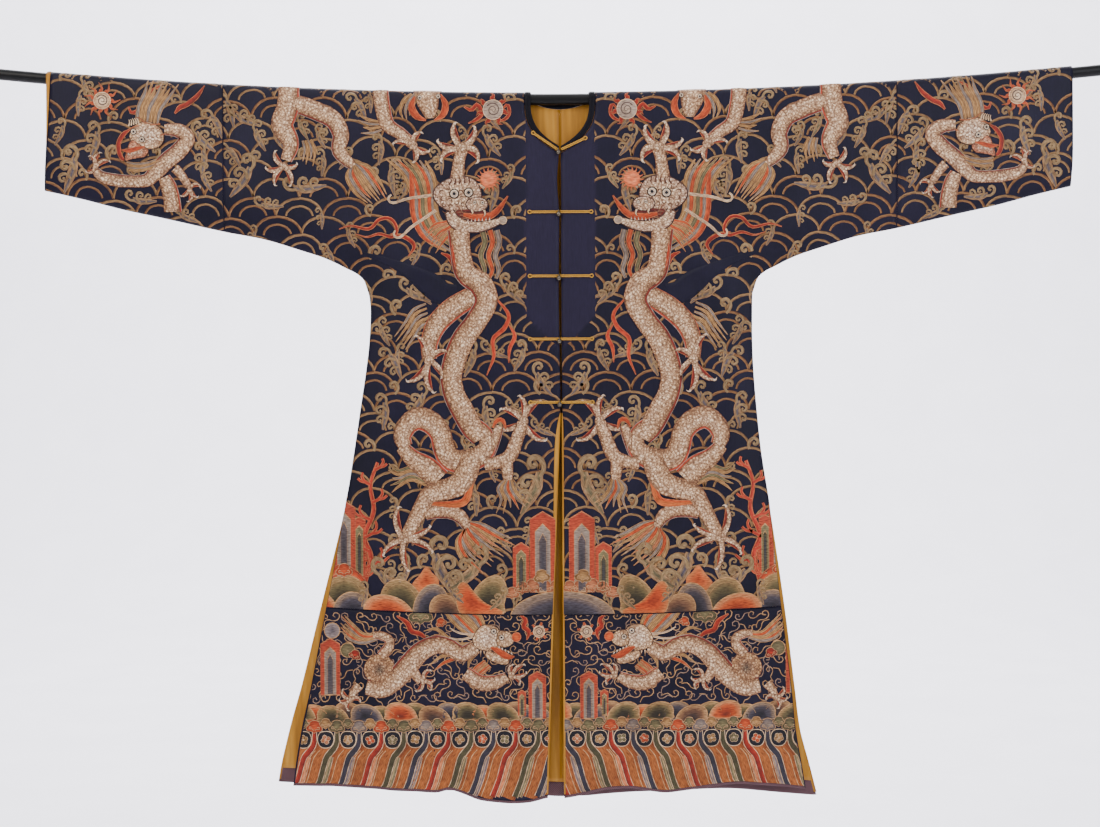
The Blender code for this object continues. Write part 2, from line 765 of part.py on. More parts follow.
def build():
    clear_scene()
    navy = finish("navy silk, embroidered", "211F3D", 0.65)
    ochre = finish("ochre silk lining", "B8862E", 0.60)
    brown = finish("dark brown hem binding", "3A2228", 0.75)
    dark = finish("blue-black satin neck binding", "17151F", 0.50)
    cord = finish("ochre gold cord", "B98A35", 0.60)
    bronze = finish("dark bronze button", "55504A", 0.35, 1.0)
    black = finish("black lacquered rod", "141314", 0.35)

    make_rod(black)
    for side in (RIGHT, LEFT):
        for face in (FRONT, BACK):
            make_body(face, side, navy)
            make_skirt(face, side, navy, brown)
        make_sleeve(side, navy)
        make_lining(side, ochre, brown)
    make_cuff_lining(ochre)
    make_neck_binding(dark)
    make_frogs(cord, bronze)


build()
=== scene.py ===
"""Looks of a dragon robe that hangs flat on a rod run through both sleeves.

Frame: metres, +Z up, +X to the viewer's right (the wearer's left), the front faces -Y.
Depths are measured down from the axis of the rod's middle, distances across from the centre line.
"""

import math
import random
from collections import namedtuple

import bmesh
import bpy
import numpy as np
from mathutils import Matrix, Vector


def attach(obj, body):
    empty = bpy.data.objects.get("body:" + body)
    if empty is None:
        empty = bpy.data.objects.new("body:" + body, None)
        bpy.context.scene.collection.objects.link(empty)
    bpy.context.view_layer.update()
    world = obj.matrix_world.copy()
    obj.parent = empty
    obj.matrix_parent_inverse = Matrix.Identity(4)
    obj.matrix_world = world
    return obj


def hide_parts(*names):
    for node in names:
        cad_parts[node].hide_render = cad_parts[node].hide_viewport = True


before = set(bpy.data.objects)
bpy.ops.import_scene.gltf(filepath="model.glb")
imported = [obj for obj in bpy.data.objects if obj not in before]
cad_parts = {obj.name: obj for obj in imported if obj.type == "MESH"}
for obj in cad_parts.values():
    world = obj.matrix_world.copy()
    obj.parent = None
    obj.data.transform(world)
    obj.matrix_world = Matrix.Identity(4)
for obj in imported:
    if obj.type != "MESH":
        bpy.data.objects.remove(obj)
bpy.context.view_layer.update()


# The rod: a thin turned hardwood pole, lacquered black, that carries the robe by both sleeves.
# It sags a few centimetres at the middle, where the cloth weighs on it.

ROD_RADIUS = 0.0110
ROD_HALF = 1.150
ROD_RISE = 0.0462             # height gained per square metre across
ROD_SIDES = 48
ROD_CUTS = 95
ROD_END_BEVEL = 0.0012
LACQUER = "080809"
LACQUER_WORN = "181514"
LACQUER_STREAK = 0.004        # width of the brush marks in the lacquer


def srgb(hex_colour):
    """An sRGB hex colour as the linear values that Blender's sockets hold."""
    channels = [int(hex_colour[place:place + 2], 16) / 255 for place in (0, 2, 4)]
    linear = [value / 12.92 if value <= 0.04045 else ((value + 0.055) / 1.055) ** 2.4
              for value in channels]
    return (*linear, 1.0)


def add_node(material, kind, settings=None, links=None):
    """Adds a node, sets its inputs or properties, and links its inputs from other nodes' outputs."""
    node = material.node_tree.nodes.new(kind)
    for key, value in (settings or {}).items():
        if isinstance(key, int) or key in node.inputs:
            node.inputs[key].default_value = value
        else:
            setattr(node, key, value)
    for key, source in (links or {}).items():
        material.node_tree.links.new(source, node.inputs[key])
    return node


def start_material(name, roughness, ior=1.5):
    """A new material and its Principled shader, with the values that are the same all over."""
    material = bpy.data.materials.new(name)
    material.use_nodes = True
    shader = material.node_tree.nodes["Principled BSDF"]
    shader.inputs["Roughness"].default_value = roughness
    shader.inputs["IOR"].default_value = ior
    return material, shader


def plug(material, source, shader, socket):
    material.node_tree.links.new(source, shader.inputs[socket])


def shades(material, factor, stops):
    """Colours along a ramp: stops are (place, hex colour)."""
    ramp = add_node(material, "ShaderNodeValToRGB", links={"Fac": factor})
    elements = ramp.color_ramp.elements
    while len(elements) < len(stops):
        elements.new(0.5)
    for element, (place, colour) in zip(elements, stops):
        element.position = place
        element.color = srgb(colour)
    return ramp.outputs["Color"]


def lacquered_wood():
    """Lacquered hardwood: a deep black coat with long faint brush marks and rubbed brown spots."""
    material, shader = start_material("black lacquered hardwood", 0.4)
    shader.inputs["Specular IOR Level"].default_value = 0.14
    shader.inputs["Coat Weight"].default_value = 0.04
    shader.inputs["Coat Roughness"].default_value = 0.18
    place = add_node(material, "ShaderNodeTexCoord").outputs["Object"]
    along = add_node(material, "ShaderNodeMapping", {"Scale": (0.05, 1, 1)}, {"Vector": place})
    streaks = add_node(material, "ShaderNodeTexNoise",
                       {"Scale": 1 / LACQUER_STREAK, "Detail": 3.0},
                       {"Vector": along.outputs["Vector"]})
    colour = shades(material, streaks.outputs["Fac"],
                    [(0.0, LACQUER), (0.62, LACQUER), (0.80, LACQUER_WORN)])
    plug(material, colour, shader, "Base Color")
    bump = add_node(material, "ShaderNodeBump", {"Strength": 0.15, "Distance": 0.0003},
                    {"Height": streaks.outputs["Fac"]})
    plug(material, bump.outputs["Normal"], shader, "Normal")
    return material


def rod_height(across):
    return ROD_RISE * across ** 2


def deselect_all():
    for thing in bpy.context.selected_objects:
        thing.select_set(False)


def finish_piece(piece, name, material, slot, *stands_for):
    """Names a finished mesh, gives it its material and hangs it on the frame. Its slot is not used."""
    piece.name = name
    piece.data.name = name
    if material is not None:
        piece.data.materials.clear()
        piece.data.materials.append(material)
    if stands_for:
        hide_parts(*stands_for)
    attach(piece, "root")
    return piece


deselect_all()
bpy.ops.mesh.primitive_cylinder_add(vertices=ROD_SIDES, radius=ROD_RADIUS, depth=2 * ROD_HALF,
                                    rotation=(0, math.pi / 2, 0))
rod = bpy.context.object
bpy.ops.object.transform_apply(location=True, rotation=True, scale=True)
bpy.ops.object.mode_set(mode="EDIT")
bpy.ops.mesh.select_mode(type="EDGE")
bpy.ops.mesh.select_all(action="DESELECT")
bpy.ops.object.mode_set(mode="OBJECT")
for edge in rod.data.edges:
    start, end = (rod.data.vertices[index].co for index in edge.vertices)
    edge.select = start.x * end.x > 0
bpy.ops.object.mode_set(mode="EDIT")
bpy.ops.mesh.bevel(offset=ROD_END_BEVEL, segments=3)
bpy.ops.mesh.select_all(action="DESELECT")
bpy.ops.object.mode_set(mode="OBJECT")
for edge in rod.data.edges:
    start, end = (rod.data.vertices[index].co for index in edge.vertices)
    edge.select = start.x * end.x < 0
bpy.ops.object.mode_set(mode="EDIT")
bpy.ops.mesh.subdivide(number_cuts=ROD_CUTS)
bpy.ops.object.mode_set(mode="OBJECT")
for vertex in rod.data.vertices:
    vertex.co.z += rod_height(vertex.co.x)
bpy.ops.object.shade_smooth_by_angle(angle=math.radians(35))
finish_piece(rod, "rod_lacquered", lacquered_wood(), "black_rod", "rod")


# The silk panels: each front and each back is one length of navy silk from the shoulder ridge to
# the seam above the lower band, with the inner length of its sleeve cut on. Silk, its woven and
# couched pattern and its ochre silk lining make one thin wall, soft enough for faint creases.

CLOTH_WALL = 0.0016           # silk and lining together
WALL = 0.0020                 # thickness allowed for at seams, where edges are turned in
SEAM_GAP = 0.00004
WRAP = 0.0138                 # outer side of the cloth, from the rod's axis
NECK_HALF = 0.057
NECK_FRONT = 0.0936
NECK_BACK = 0.027
BAND_WIDTH = 0.012
BAND_FRONT_WIDTH = 0.0134
ARMHOLE = 0.374
ARMPIT = 0.380
SLEEVE_SEAM = 0.655
SLIT_TOP = 0.775
SEAM_SPREAD = 0.070
LEVEL_SEAM_EDGE = 0.986
LEVEL_SEAM_MIDDLE = 1.004
LEVEL_SEAM_HALF = 0.470
HEM_LEVEL = 1.350
FRONT = -1
BACK = 1
RIGHT = -1                    # the wearer's right, at the viewer's left
LEFT = 1
FACES = {"front": FRONT, "back": BACK}
SIDES = {"right": RIGHT, "left": LEFT}
SIDE_NAMES = {RIGHT: "right", LEFT: "left"}
QUARTER = math.pi / 2
QUARTER_ARC = WRAP * QUARTER
GRID = 0.008                  # spacing of the cloth's points
ARC_STEPS = 8

SideEdge = namedtuple("SideEdge", "depth right left")
SIDE_EDGES = [
    SideEdge(0.374, 0.374, 0.374),
    SideEdge(0.413, 0.371, 0.373),
    SideEdge(0.471, 0.374, 0.373),
    SideEdge(0.528, 0.381, 0.375),
    SideEdge(0.606, 0.393, 0.381),
    SideEdge(0.684, 0.405, 0.389),
    SideEdge(0.762, 0.418, 0.401),
    SideEdge(0.840, 0.436, 0.414),
    SideEdge(0.996, 0.475, 0.436),
    SideEdge(1.152, 0.512, 0.455),
    SideEdge(1.230, 0.533, 0.465),
    SideEdge(1.308, 0.551, 0.485),
    SideEdge(1.360, 0.560, 0.498),
]

# How far the front's edge lies inside the back's, below the top of each slit
SlitInset = namedtuple("SlitInset", "depth right left")
SLIT_INSETS = [
    SlitInset(0.775, 0.000, 0.000),
    SlitInset(0.850, 0.006, 0.006),
    SlitInset(1.000, 0.014, 0.010),
    SlitInset(1.200, 0.024, 0.012),
    SlitInset(1.340, 0.033, 0.024),
]

# Distance of each front's opening edge from the centre line
FrontEdge = namedtuple("FrontEdge", "depth right left")
FRONT_EDGES = [
    FrontEdge(0.107, 0.0020, 0.0010),
    FrontEdge(0.160, 0.0060, 0.0015),
    FrontEdge(0.220, 0.0025, 0.0015),
    FrontEdge(0.280, 0.0030, 0.0010),
    FrontEdge(0.400, 0.0040, 0.0010),
    FrontEdge(0.592, 0.0020, 0.0010),
    FrontEdge(0.700, 0.0060, 0.0010),
    FrontEdge(1.000, 0.0180, 0.0010),
    FrontEdge(1.362, 0.0310, 0.0015),
]

Underarm = namedtuple("Underarm", "across depth")
UNDERARMS = [
    Underarm(0.374, 0.380),
    Underarm(0.385, 0.349),
    Underarm(0.425, 0.324),
    Underarm(0.461, 0.307),
    Underarm(0.500, 0.294),
    Underarm(0.578, 0.270),
    Underarm(0.655, 0.255),
    Underarm(0.773, 0.228),
    Underarm(0.851, 0.211),
    Underarm(0.929, 0.1905),
    Underarm(1.000, 0.174),
    Underarm(1.020, 0.170),
]

# Folds that stand out of the skirt and grow towards the hem
Fold = namedtuple("Fold", "face across top height half_width")
FOLDS = [
    Fold(FRONT, -0.365, 0.800, 0.006, 0.085),
    Fold(FRONT, -0.235, 0.900, 0.011, 0.060),
    Fold(FRONT, -0.100, 0.760, 0.006, 0.075),
    Fold(FRONT, 0.045, 0.760, 0.005, 0.060),
    Fold(FRONT, 0.235, 0.800, 0.007, 0.090),
    Fold(FRONT, 0.390, 0.860, 0.005, 0.070),
    Fold(BACK, -0.360, 0.800, 0.006, 0.100),
    Fold(BACK, -0.130, 0.840, 0.007, 0.090),
    Fold(BACK, 0.120, 0.780, 0.006, 0.090),
    Fold(BACK, 0.330, 0.820, 0.007, 0.090),
]
FOLD_FAN = 0.20

# Faint creases laid from one place to another: heights below nought are troughs
Crease = namedtuple("Crease", "face across depth low_across low_depth height half_width")
CREASES = [
    Crease(FRONT, -0.245, 0.870, -0.222, 1.400, -0.0042, 0.024),
    Crease(FRONT, -0.310, 1.010, -0.338, 1.390, 0.0026, 0.030),
    Crease(FRONT, -0.150, 0.700, -0.128, 1.380, -0.0024, 0.034),
    Crease(FRONT, -0.420, 1.080, -0.460, 1.400, -0.0026, 0.027),
    Crease(FRONT, 0.105, 0.640, 0.128, 1.400, -0.0028, 0.032),
    Crease(FRONT, 0.170, 0.930, 0.205, 1.400, 0.0030, 0.026),
    Crease(FRONT, 0.315, 0.820, 0.345, 1.400, -0.0030, 0.030),
    Crease(FRONT, 0.050, 1.150, 0.060, 1.400, 0.0022, 0.024),
    Crease(FRONT, -0.350, 0.400, -0.120, 0.160, 0.0020, 0.034),
    Crease(FRONT, -0.330, 0.450, -0.200, 0.640, -0.0016, 0.036),
    Crease(FRONT, 0.355, 0.410, 0.150, 0.190, 0.0018, 0.038),
    Crease(FRONT, 0.340, 0.440, 0.290, 0.720, -0.0019, 0.030),
    Crease(FRONT, -0.520, 0.060, -0.430, 0.300, -0.0016, 0.030),
    Crease(FRONT, -0.700, 0.020, -0.640, 0.235, 0.0015, 0.032),
    Crease(FRONT, -0.880, 0.000, -0.860, 0.190, -0.0015, 0.028),
    Crease(FRONT, 0.540, 0.050, 0.450, 0.290, -0.0017, 0.034),
    Crease(FRONT, 0.760, 0.010, 0.720, 0.225, 0.0016, 0.028),
    Crease(FRONT, 0.930, 0.000, 0.900, 0.180, -0.0013, 0.026),
    Crease(BACK, -0.210, 0.720, -0.245, 1.400, -0.0034, 0.034),
    Crease(BACK, -0.040, 0.600, -0.050, 1.400, 0.0024, 0.030),
    Crease(BACK, 0.200, 0.800, 0.236, 1.400, -0.0036, 0.030),
    Crease(BACK, 0.050, 0.950, 0.046, 1.400, -0.0022, 0.026),
    Crease(BACK, -0.440, 1.000, -0.480, 1.400, 0.0026, 0.032),
    Crease(BACK, -0.350, 0.400, -0.160, 0.120, 0.0021, 0.036),
    Crease(BACK, 0.350, 0.400, 0.170, 0.150, 0.0017, 0.040),
    Crease(BACK, -0.540, 0.050, -0.440, 0.290, -0.0018, 0.032),
    Crease(BACK, -0.790, 0.010, -0.760, 0.215, 0.0014, 0.030),
    Crease(BACK, 0.560, 0.060, 0.460, 0.280, -0.0015, 0.034),
    Crease(BACK, 0.820, 0.010, 0.790, 0.205, 0.0016, 0.028),
]


def smooth_at(rows, key, column, place):
    """One column of a table, read on a smooth curve through its rows, at many places at once."""
    keys = np.array([getattr(row, key) for row in rows])
    values = np.array([getattr(row, column) for row in rows])
    place = np.clip(place, keys[0], keys[-1])
    at = np.clip(np.searchsorted(keys, place) - 1, 0, len(keys) - 2)
    slopes = np.empty(len(keys))
    slopes[1:-1] = (values[2:] - values[:-2]) / (keys[2:] - keys[:-2])
    slopes[0] = (values[1] - values[0]) / (keys[1] - keys[0])
    slopes[-1] = (values[-1] - values[-2]) / (keys[-1] - keys[-2])
    span = keys[at + 1] - keys[at]
    share = (place - keys[at]) / span
    start_weight = 2 * share ** 3 - 3 * share ** 2 + 1
    start_slope = share ** 3 - 2 * share ** 2 + share
    end_weight = 3 * share ** 2 - 2 * share ** 3
    end_slope = share ** 3 - share ** 2
    return (start_weight * values[at] + start_slope * span * slopes[at]
            + end_weight * values[at + 1] + end_slope * span * slopes[at + 1])


def side_edge(face, side, depth):
    """Distance of a panel's side edge from the centre line, below the armpit."""
    edge = smooth_at(SIDE_EDGES, "depth", SIDE_NAMES[side], depth)
    if face == FRONT:
        edge = edge - smooth_at(SLIT_INSETS, "depth", SIDE_NAMES[side], depth)
    return edge


def sewn_line(side):
    """Points along the underarm and side seam, from the cuff to the top of the slit."""
    line = [(row.across, row.depth) for row in reversed(UNDERARMS)]
    for row in SIDE_EDGES:
        if ARMPIT < row.depth < SLIT_TOP:
            line.append((getattr(row, SIDE_NAMES[side]), row.depth))
    line.append((float(side_edge(BACK, side, SLIT_TOP)), SLIT_TOP))
    return np.array(line)


SEWN_LINES = {side: sewn_line(side) for side in SIDE_NAMES}


def distance_to(start, end, across, depth):
    """Distance of many points from one stretch, and how far along it each one's foot lies."""
    along = end - start
    length = along @ along
    share = ((across - start[0]) * along[0] + (depth - start[1]) * along[1]) / length
    share = np.clip(share, 0, 1)
    away = np.hypot(across - start[0] - along[0] * share, depth - start[1] - along[1] * share)
    return away, share


def sewn_distance(across, depth):
    """How far each point of the spread robe lies from the nearest sewn edge."""
    nearest = np.ones_like(depth)
    for side, line in SEWN_LINES.items():
        mine = across * side > 0
        if not mine.any():
            continue
        near = np.ones(int(mine.sum()))
        for start, end in zip(line, line[1:]):
            away, _ = distance_to(start, end, np.abs(across[mine]), depth[mine])
            near = np.minimum(near, away)
        nearest[mine] = near
    return nearest


def fold_height(face, across, depth):
    """How far folds and creases lift the cloth at each point."""
    height = np.zeros_like(depth)
    for fold in FOLDS:
        if fold.face == face:
            middle = fold.across * (1 - FOLD_FAN * (HEM_LEVEL - depth) / HEM_LEVEL)
            away = np.minimum(1, np.abs(across - middle) / fold.half_width)
            growth = np.clip((depth - fold.top) / (HEM_LEVEL - fold.top), 0, 1)
            height += fold.height * growth * np.cos(away * QUARTER) ** 2
    for crease in CREASES:
        if crease.face == face:
            start = np.array([crease.across, crease.depth])
            end = np.array([crease.low_across, crease.low_depth])
            away, share = distance_to(start, end, across, depth)
            away = np.minimum(1, away / crease.half_width)
            swell = np.sin(share * math.pi) ** 0.7 if crease.low_depth < HEM_LEVEL else np.sqrt(share)
            height += crease.height * swell * np.cos(away * QUARTER) ** 2
    return height


def wall_reach(face, across, depth):
    """Distance of the cloth's outer side from the middle plane of the flat robe."""
    shut = WALL + SEAM_GAP / 2
    spread = np.minimum(1, sewn_distance(across, depth) / SEAM_SPREAD)
    return shut + (WRAP - shut) * np.sin(spread * QUARTER) + fold_height(face, across, depth) * spread


def drape(face, across, depth, lift=0.0):
    """Points lifted off the cloth's outer side: over the rod above its axis, hanging below it."""
    across, depth, lift = np.broadcast_arrays(np.asarray(across, float), np.asarray(depth, float),
                                              np.asarray(lift, float))
    below = depth + rod_height(across)
    turn = np.maximum(0, QUARTER + below / WRAP)
    over = below < 0
    reach = np.where(over, (WRAP + lift) * np.sin(turn), wall_reach(face, across, depth) + lift)
    height = np.where(over, rod_height(across) + (WRAP + lift) * np.cos(turn), -depth)
    return np.stack([across, face * reach, height], axis=-1)


def hanging_depth(across, drop):
    """Depth at a drop below the rod's axis: rows follow the rod above and run level below."""
    return drop - rod_height(across) * np.clip(1 - drop / ARMPIT, 0, 1)


def level_seam(across):
    return LEVEL_SEAM_MIDDLE + (LEVEL_SEAM_EDGE - LEVEL_SEAM_MIDDLE) * (across / LEVEL_SEAM_HALF) ** 2


def neck_across(face, drop, half_width):
    """Half width of the neck curve at a drop below the rod's axis."""
    if face == FRONT:
        share = np.clip(drop / (NECK_FRONT + BAND_FRONT_WIDTH), 0, 1)
        return half_width * (1 - share ** 3)
    share = np.clip((QUARTER_ARC + drop) / (NECK_BACK + BAND_WIDTH), 0, 1)
    return half_width * np.sqrt(1 - share ** 2)


def front_edge(side, depth):
    return smooth_at(FRONT_EDGES, "depth", SIDE_NAMES[side], depth)


def inner_edge(face, side, drop):
    """Distance of a panel's inner edge from the centre line."""
    drop = np.asarray(drop, float)
    edge = front_edge(side, drop) if face == FRONT else np.full_like(drop, SEAM_GAP / 2)
    return np.maximum(edge, neck_across(face, drop, NECK_HALF + BAND_WIDTH))


def evenly(start, end, spacing=GRID):
    """Values from start to end, both included, no further apart than the spacing."""
    return np.linspace(start, end, max(2, math.ceil(abs(end - start) / spacing - 1e-6) + 1))


def wall_drops(face):
    """Levels of a panel's rows, from the shoulder ridge down to the armpit."""
    arc = np.linspace(SEAM_GAP / 2 - QUARTER_ARC, 0, ARC_STEPS + 1)
    if face == FRONT:
        neck = evenly(0, NECK_FRONT + BAND_FRONT_WIDTH, 0.0055)[1:]
    else:
        reach = NECK_BACK + BAND_WIDTH
        first = math.degrees(math.asin(QUARTER_ARC / reach))
        neck = reach * np.sin(np.radians(np.linspace(first, 90, 9)[1:])) - QUARTER_ARC
    return np.concatenate([arc, neck, evenly(neck[-1], ARMPIT)[1:]])


def grid_faces(indices):
    """Quads over a grid of point numbers."""
    return np.stack([indices[:-1, :-1], indices[:-1, 1:], indices[1:, 1:], indices[1:, :-1]],
                    axis=-1).reshape(-1, 4)


def make_mesh(name, points, faces):
    mesh = bpy.data.meshes.new(name)
    mesh.from_pydata(np.asarray(points).tolist(), [], [list(map(int, face)) for face in faces])
    mesh.shade_smooth()
    piece = bpy.data.objects.new(name, mesh)
    bpy.context.scene.collection.objects.link(piece)
    return piece


def closed_wall(name, outer, inner, faces, materials):
    """A thin wall between two sheets of points, joined round its open edges.

    The outer sheet takes the first material, and the inner one and the rim the last.
    """
    count = len(outer)
    faces = np.asarray(faces)
    corners = outer[faces]
    normals = np.cross(corners[:, 2] - corners[:, 0], corners[:, 3] - corners[:, 1])
    if np.sum(normals * (outer - inner)[faces[:, 0]]) < 0:
        faces = faces[:, ::-1]
    under = faces[:, ::-1] + count
    starts = faces.reshape(-1)
    ends = np.roll(faces, -1, axis=1).reshape(-1)
    edges = set(zip(starts.tolist(), ends.tolist()))
    rims = [(end, start, start + count, end + count) for start, end in sorted(edges)
            if (end, start) not in edges]
    piece = make_mesh(name, np.concatenate([outer, inner]),
                      faces.tolist() + under.tolist() + rims)
    for material in materials:
        piece.data.materials.append(material)
    kinds = np.zeros(len(piece.data.polygons), np.int32)
    kinds[len(faces):] = len(materials) - 1
    piece.data.polygons.foreach_set("material_index", kinds)
    smooth = np.ones(len(piece.data.polygons), bool)
    smooth[len(faces) + len(under):] = False
    piece.data.polygons.foreach_set("use_smooth", smooth)
    return piece


PLACKET = 0.067               # half width of the plain stretch behind the frogs
PLACKET_LOW = 0.475           # where it ends, with its corners cut off
PLACKET_CORNER = 0.050
PLAIN_NAVY = "211B30"
NAVY = "110E20"
NAVY_DEEP = "0B0A18"
NAVY_FADED = "191628"
SILK_RIB = 0.0022             # ribs of the weave, drawn coarse enough to show
SILK_FADE = 0.16              # size of the patches where light has faded the dye


def add_plain_share(piece):
    """Marks where the silk was left plain, behind the frogs, so that the dye can look lighter."""
    mesh = piece.data
    points = np.empty(len(mesh.vertices) * 3)
    mesh.vertices.foreach_get("co", points)
    points = points.reshape(-1, 3)
    across = np.abs(points[:, 0])
    corner = PLACKET - np.clip(-points[:, 2] - PLACKET_LOW + PLACKET_CORNER, 0, 1)
    inside = (points[:, 1] < 0) & (across < np.minimum(PLACKET, corner)) & (points[:, 2] < 0)
    attribute = mesh.attributes.new("plain_share", "FLOAT", "POINT")
    attribute.data.foreach_set("value", inside.astype(np.float32))


def navy_silk():
    """Ribbed silk satin, dyed indigo: a soft low gloss, with faded patches and fine ribs."""
    material, shader = start_material("indigo silk satin, woven", 0.52, 1.45)
    shader.inputs["Specular IOR Level"].default_value = 0.16
    shader.inputs["Sheen Weight"].default_value = 0.03
    shader.inputs["Sheen Roughness"].default_value = 0.4
    shader.inputs["Sheen Tint"].default_value = srgb("8E8BB8")
    place = add_node(material, "ShaderNodeTexCoord").outputs["Object"]
    fade = add_node(material, "ShaderNodeTexNoise", {"Scale": 1 / SILK_FADE, "Detail": 4.0},
                    {"Vector": place})
    ground = shades(material, fade.outputs["Fac"],
                    [(0.25, NAVY_DEEP), (0.52, NAVY), (0.78, NAVY_FADED)])
    stretched = add_node(material, "ShaderNodeMapping", {"Scale": (1, 1, 0.12)}, {"Vector": place})
    slubs = add_node(material, "ShaderNodeTexNoise", {"Scale": 1 / SILK_RIB, "Detail": 2.0},
                     {"Vector": stretched.outputs["Vector"]})
    plain = add_node(material, "ShaderNodeAttribute", {"attribute_name": "plain_share"})
    share = add_node(material, "ShaderNodeMath", {"operation": "MULTIPLY", 1: 0.62},
                     {0: plain.outputs["Fac"]})
    dyed = add_node(material, "ShaderNodeMix", {"data_type": "RGBA", 7: srgb(PLAIN_NAVY)},
                    {0: share.outputs[0], 6: ground})
    tint = shades(material, slubs.outputs["Fac"], [(0.3, "C8C8C8"), (0.7, "FFFFFF")])
    woven = add_node(material, "ShaderNodeMix",
                     {"data_type": "RGBA", "blend_type": "MULTIPLY", 0: 0.55},
                     {6: dyed.outputs[2], 7: tint})
    plug(material, woven.outputs[2], shader, "Base Color")
    bump = add_node(material, "ShaderNodeBump", {"Strength": 0.35, "Distance": 0.0004},
                    {"Height": slubs.outputs["Fac"]})
    plug(material, bump.outputs["Normal"], shader, "Normal")
    return material


# The lining's colour, darkened and lightened in soft vertical streaks as painted shade and painted sheen
OCHRE = "9A6818"
OCHRE_DEEP = "764C0E"
OCHRE_SHEEN_STREAK = "B08030"


def ochre_silk():
    """Plain-woven ochre silk: a warmer sheen than the outer silk, with soft vertical streaks of painted
    shade and painted sheen.
    """
    material, shader = start_material("ochre silk lining, plain weave", 0.46, 1.45)
    shader.inputs["Specular IOR Level"].default_value = 0.25
    shader.inputs["Sheen Weight"].default_value = 0.08
    shader.inputs["Sheen Roughness"].default_value = 0.35
    shader.inputs["Sheen Tint"].default_value = srgb("F0CF8A")
    place = add_node(material, "ShaderNodeTexCoord").outputs["Object"]
    hanging = add_node(material, "ShaderNodeMapping", {"Scale": (1, 1, 0.08)}, {"Vector": place})
    shade = add_node(material, "ShaderNodeTexNoise", {"Scale": 60.0, "Detail": 4.0},
                     {"Vector": hanging.outputs["Vector"]})
    # Painted shade and painted sheen, in vertical streaks over the flat lining
    colour = shades(material, shade.outputs["Fac"],
                    [(0.28, OCHRE_DEEP), (0.52, OCHRE), (0.76, OCHRE_SHEEN_STREAK)])
    plug(material, colour, shader, "Base Color")
    threads = add_node(material, "ShaderNodeTexNoise", {"Scale": 1 / SILK_RIB, "Detail": 1.0},
                       {"Vector": hanging.outputs["Vector"]})
    bump = add_node(material, "ShaderNodeBump", {"Strength": 0.3, "Distance": 0.0004},
                    {"Height": threads.outputs["Fac"]})
    plug(material, bump.outputs["Normal"], shader, "Normal")
    return material


navy = navy_silk()
ochre = ochre_silk()


def body_grid(face, side):
    """Places across and depths of a panel's body, row by row."""
    columns = np.linspace(0, 1, math.ceil(ARMHOLE / GRID) + 1)
    upper = wall_drops(face)
    lower = evenly(ARMPIT, LEVEL_SEAM_EDGE)[1:]
    drops = np.concatenate([upper, lower])[:, None]
    start = inner_edge(face, side, drops)
    end = np.where(drops > ARMPIT, side_edge(face, side, drops), ARMHOLE)
    across = start + (end - start) * columns
    depth = hanging_depth(across, drops)
    stretch = np.clip((drops - ARMPIT) / (LEVEL_SEAM_EDGE - ARMPIT), 0, 1)
    return side * across, depth + (level_seam(across) - LEVEL_SEAM_EDGE) * stretch


def sleeve_depth(across, drop):
    """Depth on a sleeve, whose rows draw together towards the cuff."""
    share = np.clip(drop / ARMPIT, 0, 1)
    underarm = smooth_at(UNDERARMS, "across", "depth", across)
    top = -rod_height(across)
    return np.where(drop < 0, top + drop, top + (underarm - top) * share)


def make_body(face_name, side_name):
    face = FACES[face_name]
    side = SIDES[side_name]
    across, depth = body_grid(face, side)
    upper = wall_drops(face)[:, None]
    places = np.concatenate([evenly(ARMHOLE, 0.410, 0.004)[1:],
                             evenly(0.410, SLEEVE_SEAM - SEAM_GAP / 2)[1:]])
    arm_across = np.broadcast_to(places, (len(upper), len(places)))
    arm_depth = sleeve_depth(arm_across, upper)
    body_index = np.arange(across.size).reshape(across.shape)
    arm_index = across.size + np.arange(arm_across.size).reshape(arm_across.shape)
    arm_index = np.concatenate([body_index[:len(upper), -1:], arm_index], axis=1)
    faces = np.concatenate([grid_faces(body_index), grid_faces(arm_index)])
    across = np.concatenate([across.reshape(-1), side * arm_across.reshape(-1)])
    depth = np.concatenate([depth.reshape(-1), arm_depth.reshape(-1)])
    name = f"{face_name}_{side_name}_body"
    piece = closed_wall(name + "_silk", drape(face, across, depth),
                        drape(face, across, depth, -CLOTH_WALL), faces, [navy, ochre])
    add_plain_share(piece)
    finish_piece(piece, piece.name, None, "navy_silk", name)


for face_name in FACES:
    for side_name in SIDES:
        make_body(face_name, side_name)


# Outer lengths of the sleeves: tubes of the same silk, closed along the underarm, their cuffs
# left plain and open. At the right cuff a narrow roll of the ochre lining shows over the rod.

CUFF = 1.000
CUFF_LINING_WIDTH = 0.009
CUFF_LINING_END = 0.001
CUFF_LINING_REACH = 0.150

Cuff = namedtuple("Cuff", "depth right left")
CUFFS = [
    Cuff(-0.060, 0.998, 0.997),
    Cuff(0.090, 0.999, 0.997),
    Cuff(0.176, 1.006, 0.996),
]


def cuff_lining_width(side, reach):
    """Width of lining that shows at a cuff, by distance along the cloth from the ridge."""
    width = CUFF_LINING_WIDTH + (CUFF_LINING_END - CUFF_LINING_WIDTH) * reach / CUFF_LINING_REACH
    return np.where((side == RIGHT) & (reach <= CUFF_LINING_REACH), width, 0.0)


def cuff_end(side, drop):
    """Where a sleeve's silk ends at a level: short of the lining, where that is rolled out."""
    depth = sleeve_depth(np.full_like(drop, CUFF), drop)
    reach = QUARTER_ARC + depth + rod_height(CUFF)
    width = cuff_lining_width(side, reach)
    edge = smooth_at(CUFFS, "depth", SIDE_NAMES[side], depth)
    return edge - width - np.where(width > 0, SEAM_GAP, 0.0)


